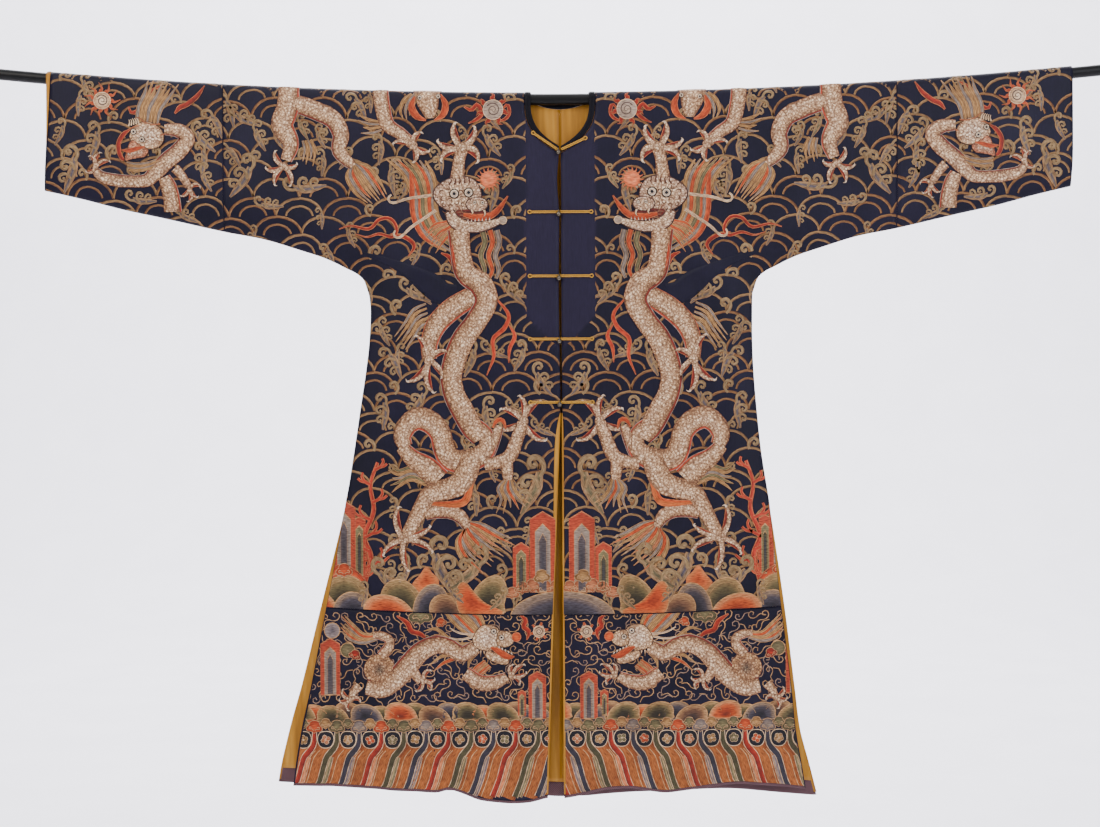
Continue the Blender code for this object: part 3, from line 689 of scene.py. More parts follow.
def make_outer_sleeve(side_name):
    side = SIDES[side_name]
    drops = np.concatenate([np.linspace(-QUARTER_ARC, 0, ARC_STEPS + 1),
                            evenly(0, ARMPIT * 0.985, 0.011)[1:]])[:, None]
    columns = np.linspace(0, 1, math.ceil((CUFF - SLEEVE_SEAM) / GRID) + 1)
    start = SLEEVE_SEAM + SEAM_GAP / 2
    across = start + (cuff_end(side, drops) - start) * columns
    depth = sleeve_depth(across, drops)
    low = start + (cuff_end(side, np.full((1, 1), ARMPIT)) - start) * columns
    low_depth = sleeve_depth(low, np.full((1, 1), ARMPIT))
    turned = np.stack([side * low, 0 * low, -low_depth], axis=-1)
    rings = {}
    for label, lift in (("outer", 0.0), ("inner", -CLOTH_WALL)):
        front = drape(FRONT, side * across, depth, lift)
        back = drape(BACK, side * across, depth, lift)[::-1]
        middle = turned - np.array([0, 0, lift])
        rings[label] = np.concatenate([front, middle, back[:-1]])
    count, width = rings["outer"].shape[:2]
    index = np.arange(count * width).reshape(count, width)
    faces = grid_faces(np.concatenate([index, index[:1]]))
    name = f"sleeve_{side_name}"
    piece = closed_wall(name + "_silk", rings["outer"].reshape(-1, 3),
                        rings["inner"].reshape(-1, 3), faces, [navy, ochre])
    finish_piece(piece, piece.name, None, "navy_silk", name)


def make_cuff_roll():
    """Ochre lining rolled out past the right cuff, widest on top of the rod."""
    reaches = np.concatenate([evenly(CUFF_LINING_REACH, QUARTER_ARC, 0.006),
                              np.linspace(QUARTER_ARC, 0, ARC_STEPS + 1)[1:]])
    outer = []
    inner = []
    stations = [(BACK, reach) for reach in reaches] + [(FRONT, reach) for reach in reaches[-2::-1]]
    for face, reach in stations:
        depth = reach - QUARTER_ARC - rod_height(CUFF)
        cuff = float(smooth_at(CUFFS, "depth", "right", depth))
        width = float(cuff_lining_width(RIGHT, reach))
        for share in (0.0, 0.5, 1.0):
            across = cuff - width * (1 - share)
            swell = 0.0009 * math.sin(share * math.pi)
            outer.append(drape(face, -across, depth, swell))
            inner.append(drape(face, -across, depth, -CLOTH_WALL))
    index = np.arange(len(outer)).reshape(-1, 3)
    piece = closed_wall("cuff_lining_right_silk", np.array(outer), np.array(inner),
                        grid_faces(index), [ochre])
    return finish_piece(piece, piece.name, None, "ochre_lining", "cuff_lining_right")


for side_name in SIDES:
    make_outer_sleeve(side_name)
make_cuff_roll()


# Lower bands: the skirt's last third, sewn on at a level seam, with the standing-water pattern.
# A narrow dark brown twill binding finishes every hem.

HEM_BINDING = 0.005
HEM_FACING = 0.028

Hem = namedtuple("Hem", "across depth")
FRONT_HEM = [
    Hem(-0.530, 1.333),
    Hem(-0.451, 1.335),
    Hem(-0.364, 1.339),
    Hem(-0.305, 1.345),
    Hem(-0.247, 1.346),
    Hem(-0.217, 1.342),
    Hem(-0.159, 1.364),
    Hem(-0.071, 1.368),
    Hem(-0.026, 1.359),
    Hem(0.003, 1.360),
    Hem(0.075, 1.345),
    Hem(0.134, 1.343),
    Hem(0.192, 1.349),
    Hem(0.251, 1.343),
    Hem(0.338, 1.335),
    Hem(0.397, 1.337),
    Hem(0.480, 1.346),
]
BACK_HEM = [
    Hem(-0.560, 1.331),
    Hem(-0.300, 1.345),
    Hem(-0.020, 1.362),
    Hem(0.020, 1.362),
    Hem(0.300, 1.350),
    Hem(0.500, 1.363),
]


def hem_depth(face, across):
    return smooth_at(FRONT_HEM if face == FRONT else BACK_HEM, "across", "depth", across)


def skirt_grid(face, side, first, last, spacing=GRID):
    """Places and depths of a stretch of the lower band, between two heights above its hem.

    A height of None is the seam at its top.
    """
    columns = np.linspace(0, 1, math.ceil(0.47 / GRID) + 1)
    height = HEM_LEVEL - LEVEL_SEAM_EDGE
    shares = [0.0 if level is None else 1 - level / height for level in (first, last)]
    rows = evenly(shares[0], shares[1], spacing / height)[:, None]
    drops = LEVEL_SEAM_EDGE + height * rows
    start = inner_edge(face, side, drops)
    across = side * (start + (side_edge(face, side, drops) - start) * columns)
    hem = hem_depth(face, across)
    top = level_seam(across) + SEAM_GAP
    near_hem = np.clip((rows - 0.8) / (1 - HEM_FACING / height - 0.8), 0, 1)
    spread = top + (hem - top) * rows
    return across, spread + (hem - height * (1 - rows) - spread) * near_hem


def make_band(face_name, side_name):
    face = FACES[face_name]
    side = SIDES[side_name]
    name = f"{face_name}_{side_name}_hem_band"
    across, depth = skirt_grid(face, side, None, HEM_BINDING + SEAM_GAP)
    index = np.arange(across.size).reshape(across.shape)
    points = [drape(face, across.reshape(-1), depth.reshape(-1), lift) for lift in (0, -CLOTH_WALL)]
    piece = closed_wall(name + "_silk", *points, grid_faces(index), [navy, ochre])
    finish_piece(piece, piece.name, None, "navy_silk", name)


BROWN = "3A2228"
BROWN_WORN = "553338"
TWILL = 0.003                 # diagonal ribs of the binding, drawn coarse enough to show


def brown_twill():
    """Brown cotton twill tape: matt, with diagonal ribs and edges rubbed a little paler."""
    material, shader = start_material("brown cotton twill tape", 0.82)
    place = add_node(material, "ShaderNodeTexCoord").outputs["Object"]
    turned = add_node(material, "ShaderNodeMapping", {"Rotation": (0, math.radians(45), 0)},
                      {"Vector": place})
    ribs = add_node(material, "ShaderNodeTexWave", {"Scale": 1 / TWILL / 3, "Distortion": 0.6},
                    {"Vector": turned.outputs["Vector"]})
    worn = add_node(material, "ShaderNodeTexNoise", {"Scale": 40.0, "Detail": 3.0},
                    {"Vector": place})
    mixed = add_node(material, "ShaderNodeMath", {"operation": "MULTIPLY"},
                     {0: ribs.outputs["Fac"], 1: worn.outputs["Fac"]})
    colour = shades(material, mixed.outputs[0], [(0.1, BROWN), (0.6, BROWN_WORN)])
    plug(material, colour, shader, "Base Color")
    bump = add_node(material, "ShaderNodeBump", {"Strength": 0.5, "Distance": 0.0004},
                    {"Height": ribs.outputs["Fac"]})
    plug(material, bump.outputs["Normal"], shader, "Normal")
    return material


twill = brown_twill()


def make_hem_binding(face_name, side_name):
    """A narrow tape folded over the hem, rounded along its lower edge."""
    face = FACES[face_name]
    side = SIDES[side_name]
    across, depth = skirt_grid(face, side, HEM_BINDING, 0.0, 0.0013)
    lift = 0.0004 - 0.0008 * np.linspace(0, 1, len(depth))[:, None] ** 4 + 0 * depth
    index = np.arange(across.size).reshape(across.shape)
    points = [drape(face, across.reshape(-1), depth.reshape(-1), lift.reshape(-1) * way + base)
              for way, base in ((1, 0.0), (-1, -CLOTH_WALL))]
    name = f"hem_binding_{face_name}_{side_name}"
    piece = closed_wall(name + "_tape", *points, grid_faces(index), [twill])
    finish_piece(piece, piece.name, None, "brown_binding", name)


for face_name in FACES:
    for side_name in SIDES:
        make_band(face_name, side_name)
        make_hem_binding(face_name, side_name)


# The lining of the back: plain ochre silk just inside it, seen at the neck, down the front gap
# and at the side slits. A strip of the brown tape faces the hem inside.

LINING_WALL = 0.0008
LINING_CLEAR = 0.0003
LINING_INSET = 0.004
LINING_HANG = WALL + LINING_CLEAR


def inner_layer(name, across, depth, faces, material, slot, node):
    """A thin sheet just inside the back, from places and depths of the back's own cloth."""
    outer = drape(BACK, across.reshape(-1), depth.reshape(-1))
    near = outer - np.array([0, LINING_HANG, 0])
    far = near - np.array([0, LINING_WALL, 0])
    piece = closed_wall(name, near, far, faces, [material])
    finish_piece(piece, piece.name, None, slot, node)


def drawn_in(side, across):
    """The same rows with their outer end drawn in a little from the edge of the back."""
    start = across[:, :1]
    width = across[:, -1:] - start
    return start + (across - start) * (1 - side * LINING_INSET / width)


def make_lining(side_name):
    side = SIDES[side_name]
    across, depth = body_grid(BACK, side)
    first = ARC_STEPS + 1
    skirt_across, skirt_depth = skirt_grid(BACK, side, None, HEM_FACING + SEAM_GAP)
    narrow = np.linspace(0, skirt_across.shape[1] - 1, across.shape[1])
    picked = np.round(narrow).astype(int)
    across = np.concatenate([across[first:-1], skirt_across[:, picked]])
    depth = np.concatenate([depth[first:-1], skirt_depth[:, picked]])
    across = drawn_in(side, across)
    index = np.arange(across.size).reshape(across.shape)
    faces = grid_faces(index)
    rows = faces[:, 0] // across.shape[1]
    columns = faces[:, 0] % across.shape[1]
    sewn = (depth[:, -1] < SLIT_TOP)[rows] & (columns >= across.shape[1] - 6)
    inner_layer(f"lining_back_{side_name}_silk", across, depth, faces[~sewn], ochre,
                "ochre_lining", f"lining_back_{side_name}")
    across, depth = skirt_grid(BACK, side, HEM_FACING, 0.0, 0.005)
    across = drawn_in(side, across)
    inner_layer(f"hem_facing_back_{side_name}_tape", across, depth,
                grid_faces(np.arange(across.size).reshape(across.shape)), twill,
                "brown_binding", f"hem_facing_back_{side_name}")


for side_name in SIDES:
    make_lining(side_name)


# The neck binding: a bias strip of blue-black satin folded over the neck's raw edge, one strip
# from one front edge round the back to the other, stitched along both sides.

BAND_PROUD = 0.0005
BAND_GAP = 0.0006
SATIN = "09080D"
SATIN_LIGHT = "121117"


def neck_stations():
    """Faces, sides and levels round the neck, from the right front edge to the left one."""
    reach = NECK_BACK + BAND_WIDTH
    first = math.asin(QUARTER_ARC / reach)
    front = list(evenly(NECK_FRONT + BAND_FRONT_WIDTH, 0, 0.004))
    arc = list(np.linspace(0, -QUARTER_ARC, ARC_STEPS + 1)[1:])
    back = [reach * math.sin(angle) - QUARTER_ARC for angle in np.linspace(first, QUARTER, 14)]
    right = [(FRONT, drop) for drop in front + arc] + [(BACK, drop) for drop in arc[-2::-1] + back]
    stations = [(face, RIGHT, drop) for face, drop in right]
    return stations + [(face, LEFT, drop) for face, drop in right[-2::-1]]


def neck_place(face, side, drop, grow):
    """Place and depth on the neck binding: grow 0 is the neck hole, grow 1 the cloth's edge."""
    across = neck_across(face, drop, NECK_HALF + BAND_WIDTH * grow)
    if face == FRONT:
        shrink = (NECK_FRONT + BAND_FRONT_WIDTH * grow) / (NECK_FRONT + BAND_FRONT_WIDTH)
        across = max(across, float(front_edge(side, drop)))
        drop = drop * shrink if drop > 0 else drop
    else:
        shrink = (NECK_BACK + BAND_WIDTH * grow) / (NECK_BACK + BAND_WIDTH)
        drop = (drop + QUARTER_ARC) * shrink - QUARTER_ARC
    return side * across, float(hanging_depth(across, drop))


def blue_black_satin():
    """Blue-black silk satin: darker and glossier than the robe, with fine ribs round the neck."""
    material, shader = start_material("blue-black silk satin, bias cut", 0.38, 1.45)
    shader.inputs["Specular IOR Level"].default_value = 0.08
    shader.inputs["Sheen Weight"].default_value = 0.0
    place = add_node(material, "ShaderNodeTexCoord").outputs["Object"]
    ribs = add_node(material, "ShaderNodeTexNoise", {"Scale": 1 / SILK_RIB, "Detail": 2.0},
                    {"Vector": place})
    colour = shades(material, ribs.outputs["Fac"], [(0.35, SATIN), (0.7, SATIN_LIGHT)])
    plug(material, colour, shader, "Base Color")
    bump = add_node(material, "ShaderNodeBump", {"Strength": 0.3, "Distance": 0.0004},
                    {"Height": ribs.outputs["Fac"]})
    plug(material, bump.outputs["Normal"], shader, "Normal")
    return material


def make_neck_binding():
    outer = []
    inner = []
    sewn = 1 - BAND_GAP / BAND_WIDTH
    shares = np.linspace(0, 1, 7)
    for face, side, drop in neck_stations():
        for share in shares:
            across, depth = neck_place(face, side, drop, share * sewn)
            puff = 0.0007 * math.sin(share * math.pi) ** 0.5
            outer.append(drape(face, across, depth, BAND_PROUD + puff))
            inner.append(drape(face, across, depth, BAND_PROUD - WALL - puff * 0.5))
    index = np.arange(len(outer)).reshape(-1, len(shares))
    piece = closed_wall("neck_binding_satin", np.array(outer), np.array(inner),
                        grid_faces(index), [blue_black_satin()])
    return finish_piece(piece, piece.name, None, "neck_satin", "neck_binding")


make_neck_binding()


# The worked pattern: silk thread in satin stitch and gold-wrapped thread couched down over it, laid
# on the navy silk in layers that stand a few tenths of a millimetre above each other. It is worked
# the same on the right and the left half, so each motif is placed once, by millimetres out from
# the centre line and down from the rod's axis, and appears on both.

THREAD_RISE = 0.00026         # height of the lowest layer of thread
LAYER_RISE = 0.00011          # each layer above it
FOOT = -0.00035               # the edges of worked bands go down into the silk
MM = 0.001
STITCH_STEP = 0.0065
STITCH_ACROSS = 0.012
EDGE_ROOM = 0.0012            # silk left bare along a seam or an edge
CUT_REACH = 0.014             # stitches that would be moved further than this are left out
THREADS = 0                   # kinds of surface, in the order of the worked pieces' materials
SCALES = 1
PLAIN = 2
LINING = 3
SCALE_LENGTH = 0.0062         # length of one couched scale
SCALE_ACROSS = 0.0056
FILAMENT = 0.0016             # threads side by side, drawn coarse enough to show
worked = {}


def rgb(colours):
    return np.array([srgb(colour)[:3] for colour in colours])


def placed(points, place, size=1.0, turn=0.0, flip=False):
    """A motif's own points moved to their place: turned clockwise in degrees, flipped or sized."""
    points = np.array(points, float) * size
    if flip:
        points[:, 0] *= -1
    angle = math.radians(turn)
    along = points[:, 0] * math.cos(angle) - points[:, 1] * math.sin(angle)
    down = points[:, 0] * math.sin(angle) + points[:, 1] * math.cos(angle)
    return np.stack([along + place[0], down + place[1]], axis=-1)


def ring_points(outline, spacing, smooth=True):
    """Evenly spaced points round a closed outline, always in the same sense."""
    outline = np.asarray(outline, float)
    turning = np.sum(outline[:, 0] * np.roll(outline[:, 1], -1)
                     - np.roll(outline[:, 0], -1) * outline[:, 1])
    if turning < 0:
        outline = outline[::-1]
    if smooth:
        return resampled(outline, spacing, closed=True)[0]
    points = []
    for start, end in zip(outline, np.roll(outline, -1, axis=0)):
        count = max(1, math.ceil(np.linalg.norm(end - start) / spacing))
        points += [start + (end - start) * step / count for step in range(count)]
    return np.array(points)


def resampled(line, spacing, closed=False):
    """Evenly spaced points on a smooth curve through a line's points, and how far along each is."""
    line = np.asarray(line, float)
    if closed:
        before = np.roll(line, 1, axis=0)
        after = np.roll(line, -1, axis=0)
        line, before, after = (np.concatenate([rows, rows[:1]]) for rows in (line, before, after))
    else:
        before = np.concatenate([2 * line[:1] - line[1:2], line[:-1]])
        after = np.concatenate([line[1:], 2 * line[-1:] - line[-2:-1]])
    slopes = (after - before) / 2
    share = np.linspace(0, 1, 24, endpoint=False)[:, None]
    pieces = []
    for at in range(len(line) - 1):
        pieces.append((2 * share ** 3 - 3 * share ** 2 + 1) * line[at]
                      + (share ** 3 - 2 * share ** 2 + share) * slopes[at]
                      + (3 * share ** 2 - 2 * share ** 3) * line[at + 1]
                      + (share ** 3 - share ** 2) * slopes[at + 1])
    dense = np.concatenate(pieces + [line[-1:]])
    steps = np.linalg.norm(np.diff(dense[:, :3], axis=0), axis=1)
    lengths = np.concatenate([[0], np.cumsum(steps)])
    places = np.linspace(0, lengths[-1], max(3, math.ceil(lengths[-1] / spacing) + 1))
    if closed:
        places = places[:-1]
    even = [np.interp(places, lengths, dense[:, axis]) for axis in range(dense.shape[1])]
    return np.stack(even, axis=-1), places / lengths[-1]


class Needle:
    """Works a pattern on one part of the robe's front or back."""

    def __init__(self, part, face):
        self.rows = worked.setdefault((part, face), [])

    def lay(self, places, lifts, colours, runs, kind):
        """Adds a grid of stitches: places (rows, columns, 2), one colour pair for each strip."""
        rows, columns = lifts.shape
        index = np.arange(rows * columns).reshape(rows, columns)
        faces = np.stack([index[:-1, :-1], index[:-1, 1:], index[1:, 1:], index[1:, :-1]], axis=-1)
        left = colours[:, :, 0]
        right = colours[:, :, 1]
        corners = np.stack([left[:-1], right[:-1], right[1:], left[1:]], axis=2)
        points = np.concatenate([places, lifts[..., None]], axis=-1).reshape(-1, 3)
        flat_runs = runs.reshape(-1, 2)
        faces = faces.reshape(-1, 4)
        self.rows.append((points, faces, corners.reshape(-1, 4, 3), flat_runs[faces],
                          np.full(len(faces), kind)))

    def band(self, line, widths, fill, rim=None, layer=0, rim_width=1.6, sharp=False,
             end_fill=None, crown=0.0, kind=THREADS, step=STITCH_STEP, shift=(0,)):
        """A worked band along a line. Sizes are in millimetres, colours run across the band."""
        line = np.asarray(line, float) * MM
        at = np.linspace(0, 1, len(line))
        halves = np.interp(at, np.linspace(0, 1, len(widths)), np.array(widths) * MM / 2)
        moves = np.interp(at, np.linspace(0, 1, len(shift)), np.array(shift) * MM)
        route, share = resampled(np.column_stack([line, halves, moves]), step)
        along = np.gradient(route[:, :2], axis=0)
        along /= np.linalg.norm(along, axis=1, keepdims=True) + 1e-12
        normal = np.stack([-along[:, 1], along[:, 0]], axis=-1)
        half = np.maximum(route[:, 2], 1e-5)
        count = len(fill) if sharp else max(len(fill) - 1, 1)
        count *= max(1, math.ceil(2 * half.max() / STITCH_ACROSS / count))
        spots = np.linspace(-1, 1, count + 1)
        pairs = strip_colours(fill, count, sharp)
        if end_fill is not None:
            pairs_end = strip_colours(end_fill, count, sharp)
        else:
            pairs_end = pairs
        inner = half
        if rim is not None:
            inner = np.maximum(half - rim_width * MM, half * 0.3)
            edge = np.repeat(rgb([rim])[None], 2, axis=1)
            pairs = np.concatenate([edge, pairs, edge])
            pairs_end = np.concatenate([edge, pairs_end, edge])
        offsets = inner[:, None] * spots
        if rim is not None:
            offsets = np.concatenate([-half[:, None], offsets, half[:, None]], axis=1)
        offsets = np.concatenate([offsets[:, :1], offsets, offsets[:, -1:]], axis=1)
        rise = THREAD_RISE + layer * LAYER_RISE
        lifts = rise + crown * MM * (1 - (offsets / half[:, None]) ** 2)
        lifts[:, 0] = FOOT
        lifts[:, -1] = FOOT
        pairs = np.concatenate([pairs[:1], pairs, pairs[-1:]])
        pairs_end = np.concatenate([pairs_end[:1], pairs_end, pairs_end[-1:]])
        mixed = pairs[None] + (pairs_end - pairs)[None] * share[:, None, None, None]
        places = route[:, None, :2] + normal[:, None] * (offsets + route[:, 3:])[..., None]
        gone = np.concatenate([[0], np.cumsum(np.linalg.norm(np.diff(route[:, :2], axis=0), axis=1))])
        runs = np.stack([np.broadcast_to(gone[:, None], offsets.shape), offsets], axis=-1)
        self.lay(places, lifts, mixed, runs, kind)

    def patch(self, outline, fill, rim=None, layer=0, rim_width=1.6, sharp=False, crown=0.0,
              kind=THREADS, smooth=True, centre=None, step=0.007):
        """A worked area that can be seen whole from its centre. Colours run from its edge inwards."""
        outline = np.asarray(outline, float)
        middle = np.mean(outline, axis=0) if centre is None else np.asarray(centre, float)
        edge = ring_points(outline * MM, step, smooth)
        middle = middle * MM
        reach = np.linalg.norm(edge - middle, axis=1)
        count = len(fill) if sharp else max(len(fill) - 1, 1)
        count *= max(1, math.ceil(reach.max() / STITCH_ACROSS / count))
        pairs = strip_colours(fill, count, sharp)
        shares = np.linspace(1, 0, count + 1)
        if rim is not None:
            shares = shares * max(0.4, 1 - rim_width * MM / reach.mean())
            shares = np.concatenate([[1.0], shares])
            pairs = np.concatenate([np.repeat(rgb([rim])[None], 2, axis=1), pairs])
        shares = np.concatenate([shares[:1], shares])
        pairs = np.concatenate([pairs[:1], pairs])
        edge = np.concatenate([edge, edge[:1]])
        places = middle + (edge - middle)[:, None] * shares[:, None]
        rise = THREAD_RISE + layer * LAYER_RISE
        lifts = np.broadcast_to(rise + crown * MM * (1 - shares ** 2), places.shape[:2]).copy()
        lifts[:, 0] = FOOT
        colours = np.broadcast_to(pairs[None], (len(edge),) + pairs.shape)
        self.lay(places, lifts, colours, places.copy(), kind)


def strip_colours(fill, count, sharp):
    """Colours at both sides of each strip across a worked band or area."""
    colours = rgb(fill)
    if sharp:
        picked = colours[np.arange(count) * len(fill) // count]
        return np.stack([picked, picked], axis=1)
    if len(fill) == 1:
        return np.broadcast_to(colours[0], (count, 2, 3)).copy()
    at = np.linspace(0, 1, len(fill))
    places = np.linspace(0, 1, count + 1)
    mixed = np.stack([np.interp(places, at, colours[:, channel]) for channel in range(3)], axis=-1)
    return np.stack([mixed[:-1], mixed[1:]], axis=1)


def trimmed(part, face, side, across, depth):
    """Worked places moved inside their part of the robe, where they would run past its edges."""
    if part == "edge":
        return across, depth
    low_edge = depth
    top = -rod_height(across) - QUARTER_ARC + EDGE_ROOM / 4
    if part == "band":
        low = hem_depth(face, side * across) - HEM_BINDING - EDGE_ROOM / 2
        depth = np.clip(depth, level_seam(across) + EDGE_ROOM, low)
        across = np.minimum(across, side_edge(face, side, depth) - EDGE_ROOM)
    else:
        depth = np.maximum(depth, top)
        underarm = smooth_at(UNDERARMS, "across", "depth", across) - EDGE_ROOM
        under_sleeve = (across > ARMHOLE) & (low_edge <= ARMPIT) | (part == "sleeve")
        depth = np.where(under_sleeve, np.minimum(depth, underarm), depth)
    if part == "body":
        below_arm = low_edge > ARMPIT
        across = np.where(below_arm, np.minimum(across, side_edge(face, side, depth) - EDGE_ROOM),
                          np.minimum(across, SLEEVE_SEAM - EDGE_ROOM))
        depth = np.minimum(depth, level_seam(across) - EDGE_ROOM)
    if part == "sleeve":
        reach = QUARTER_ARC + depth + rod_height(CUFF)
        cuff = smooth_at(CUFFS, "depth", SIDE_NAMES[side], depth) - cuff_lining_width(side, reach)
        across = np.clip(across, SLEEVE_SEAM + EDGE_ROOM, cuff - 2 * EDGE_ROOM)
        return across, depth
    start = inner_edge(face, side, depth) + EDGE_ROOM
    if face == FRONT and part == "body":
        corner = PLACKET - np.clip(depth - PLACKET_LOW + PLACKET_CORNER, 0, 1)
        start = np.maximum(start, np.where(depth < PLACKET_LOW, np.minimum(PLACKET, corner), 0))
    return np.maximum(across, start), depth


SHEEN_TINT = "CBB79A"


def silk_threads():
    """Filament silk in satin stitch: bright along the thread, its colours dyed and a little faded."""
    material, shader = start_material("filament silk, satin stitch", 0.5, 1.45)
    shader.inputs["Specular IOR Level"].default_value = 0.25
    shader.inputs["Sheen Weight"].default_value = 0.03
    shader.inputs["Sheen Tint"].default_value = srgb(SHEEN_TINT)
    dye = add_node(material, "ShaderNodeAttribute", {"attribute_name": "thread_colour"})
    runs = add_node(material, "ShaderNodeUVMap", {"uv_map": "thread_run"})
    lengthened = add_node(material, "ShaderNodeMapping", {"Scale": (0.16, 1, 1)},
                          {"Vector": runs.outputs["UV"]})
    threads = add_node(material, "ShaderNodeTexNoise", {"Scale": 1 / FILAMENT, "Detail": 2.0},
                       {"Vector": lengthened.outputs["Vector"]})
    tint = shades(material, threads.outputs["Fac"],
                  [(0.30, "7E6E62"), (0.50, "D2C2B4"), (0.70, "FFF6EA")])
    place = add_node(material, "ShaderNodeTexCoord").outputs["Object"]
    wear = add_node(material, "ShaderNodeTexNoise", {"Scale": 22.0, "Detail": 4.0}, {"Vector": place})
    faded = shades(material, wear.outputs["Fac"], [(0.32, "C9C2BC"), (0.6, "FFFFFF")])
    woven = add_node(material, "ShaderNodeMix",
                     {"data_type": "RGBA", "blend_type": "MULTIPLY", 0: 0.92},
                     {6: dye.outputs["Color"], 7: tint})
    aged = add_node(material, "ShaderNodeMix",
                    {"data_type": "RGBA", "blend_type": "MULTIPLY", 0: 0.7},
                    {6: woven.outputs[2], 7: faded})
    plug(material, aged.outputs[2], shader, "Base Color")
    bump = add_node(material, "ShaderNodeBump", {"Strength": 0.5, "Distance": 0.0005},
                    {"Height": threads.outputs["Fac"]})
    plug(material, bump.outputs["Normal"], shader, "Normal")
    return material


def gold_scales():
    """Couched gold-wrapped thread: pairs of threads laid in rows of scales, stitched down in brown."""
    material, shader = start_material("couched gold-wrapped thread, in scales", 0.46, 1.45)
    shader.inputs["Specular IOR Level"].default_value = 0.35
    shader.inputs["Metallic"].default_value = 0.10
    dye = add_node(material, "ShaderNodeAttribute", {"attribute_name": "thread_colour"})
    runs = add_node(material, "ShaderNodeUVMap", {"uv_map": "thread_run"})
    cells = add_node(material, "ShaderNodeMapping",
                     {"Scale": (1 / SCALE_LENGTH, 1 / SCALE_ACROSS, 1)}, {"Vector": runs.outputs["UV"]})
    scales = add_node(material, "ShaderNodeTexVoronoi",
                      {"feature": "DISTANCE_TO_EDGE", "Scale": 1.0, "Randomness": 0.8},
                      {"Vector": cells.outputs["Vector"]})
    specks = add_node(material, "ShaderNodeTexNoise", {"Scale": 1 / 0.0042, "Detail": 5.0, "Roughness": 0.7},
                      {"Vector": runs.outputs["UV"]})
    gaps = shades(material, scales.outputs["Distance"],
                  [(0.0, "6E4C3C"), (0.10, "C4AE9C"), (0.24, "FFFFFF")])
    holes = shades(material, specks.outputs["Fac"],
                   [(0.38, "5E3F30"), (0.47, "B59A86"), (0.56, "FFFFFF")])
    lined = add_node(material, "ShaderNodeMix",
                     {"data_type": "RGBA", "blend_type": "MULTIPLY", 0: 0.85},
                     {6: dye.outputs["Color"], 7: gaps})
    broken = add_node(material, "ShaderNodeMix",
                      {"data_type": "RGBA", "blend_type": "MULTIPLY", 0: 0.8},
                      {6: lined.outputs[2], 7: holes})
    plug(material, broken.outputs[2], shader, "Base Color")
    raised = add_node(material, "ShaderNodeMath", {"operation": "MULTIPLY"},
                      {0: scales.outputs["Distance"], 1: specks.outputs["Fac"]})
    bump = add_node(material, "ShaderNodeBump", {"Strength": 0.8, "Distance": 0.0012},
                    {"Height": raised.outputs[0]})
    plug(material, bump.outputs["Normal"], shader, "Normal")
    return material


work_materials = [silk_threads(), gold_scales(), navy, ochre]


def make_work(part, face_name, side_name, slot="navy_silk"):
    """One joined mesh of all the work on one part of one side."""
    face = FACES[face_name]
    side = SIDES[side_name]
    blocks = worked[part, side if part == "edge" else face]
    counts = np.cumsum([0] + [len(block[0]) for block in blocks])
    points = np.concatenate([block[0] for block in blocks])
    faces = np.concatenate([block[1] + base for block, base in zip(blocks, counts)])
    colours = np.concatenate([block[2] for block in blocks])
    runs = np.concatenate([block[3] for block in blocks])
    kinds = np.concatenate([block[4] for block in blocks])
    across, depth = trimmed(part, face, side, points[:, 0], points[:, 1])
    moved = np.hypot(across - points[:, 0], depth - points[:, 1])
    kept = (moved[faces].min(axis=1) < 1e-6) & (moved[faces].max(axis=1) < CUT_REACH)
    faces, colours, runs, kinds = faces[kept], colours[kept], runs[kept], kinds[kept]
    used, faces = np.unique(faces, return_inverse=True)
    faces = faces.reshape(-1, 4)
    spots = drape(face, side * across[used], depth[used], points[used, 2])
    if side * face > 0:
        faces, colours, runs = faces[:, ::-1], colours[:, ::-1], runs[:, ::-1]
    name = f"work_{face_name}_{side_name}_{part}"
    mesh = bpy.data.meshes.new(name)
    mesh.vertices.add(len(spots))
    mesh.vertices.foreach_set("co", spots.astype(np.float32).ravel())
    mesh.loops.add(len(faces) * 4)
    mesh.loops.foreach_set("vertex_index", faces.astype(np.int32).ravel())
    mesh.polygons.add(len(faces))
    mesh.polygons.foreach_set("loop_start", (np.arange(len(faces)) * 4).astype(np.int32))
    mesh.polygons.foreach_set("material_index", kinds.astype(np.int32))
    mesh.update(calc_edges=True)
    colour = mesh.color_attributes.new("thread_colour", "FLOAT_COLOR", "CORNER")
    full = np.concatenate([colours, np.ones(colours.shape[:2] + (1,))], axis=-1)
    colour.data.foreach_set("color", full.astype(np.float32).ravel())
    layer = mesh.uv_layers.new(name="thread_run")
    layer.uv.foreach_set("vector", runs.astype(np.float32).ravel())
    for material in work_materials:
        mesh.materials.append(material)
    shape = bmesh.new()
    shape.from_mesh(mesh)
    bmesh.ops.remove_doubles(shape, verts=shape.verts, dist=0.00002)
    bmesh.ops.dissolve_degenerate(shape, edges=shape.edges, dist=0.00002)
    shape.to_mesh(mesh)
    shape.free()
    mesh.shade_smooth()
    piece = bpy.data.objects.new(name, mesh)
    bpy.context.scene.collection.objects.link(piece)
    finish_piece(piece, name, None, slot)


# The wave net: arcs of tan and copper thread like overlapping scales, which cover the whole ground,
# with small crest curls where they meet.

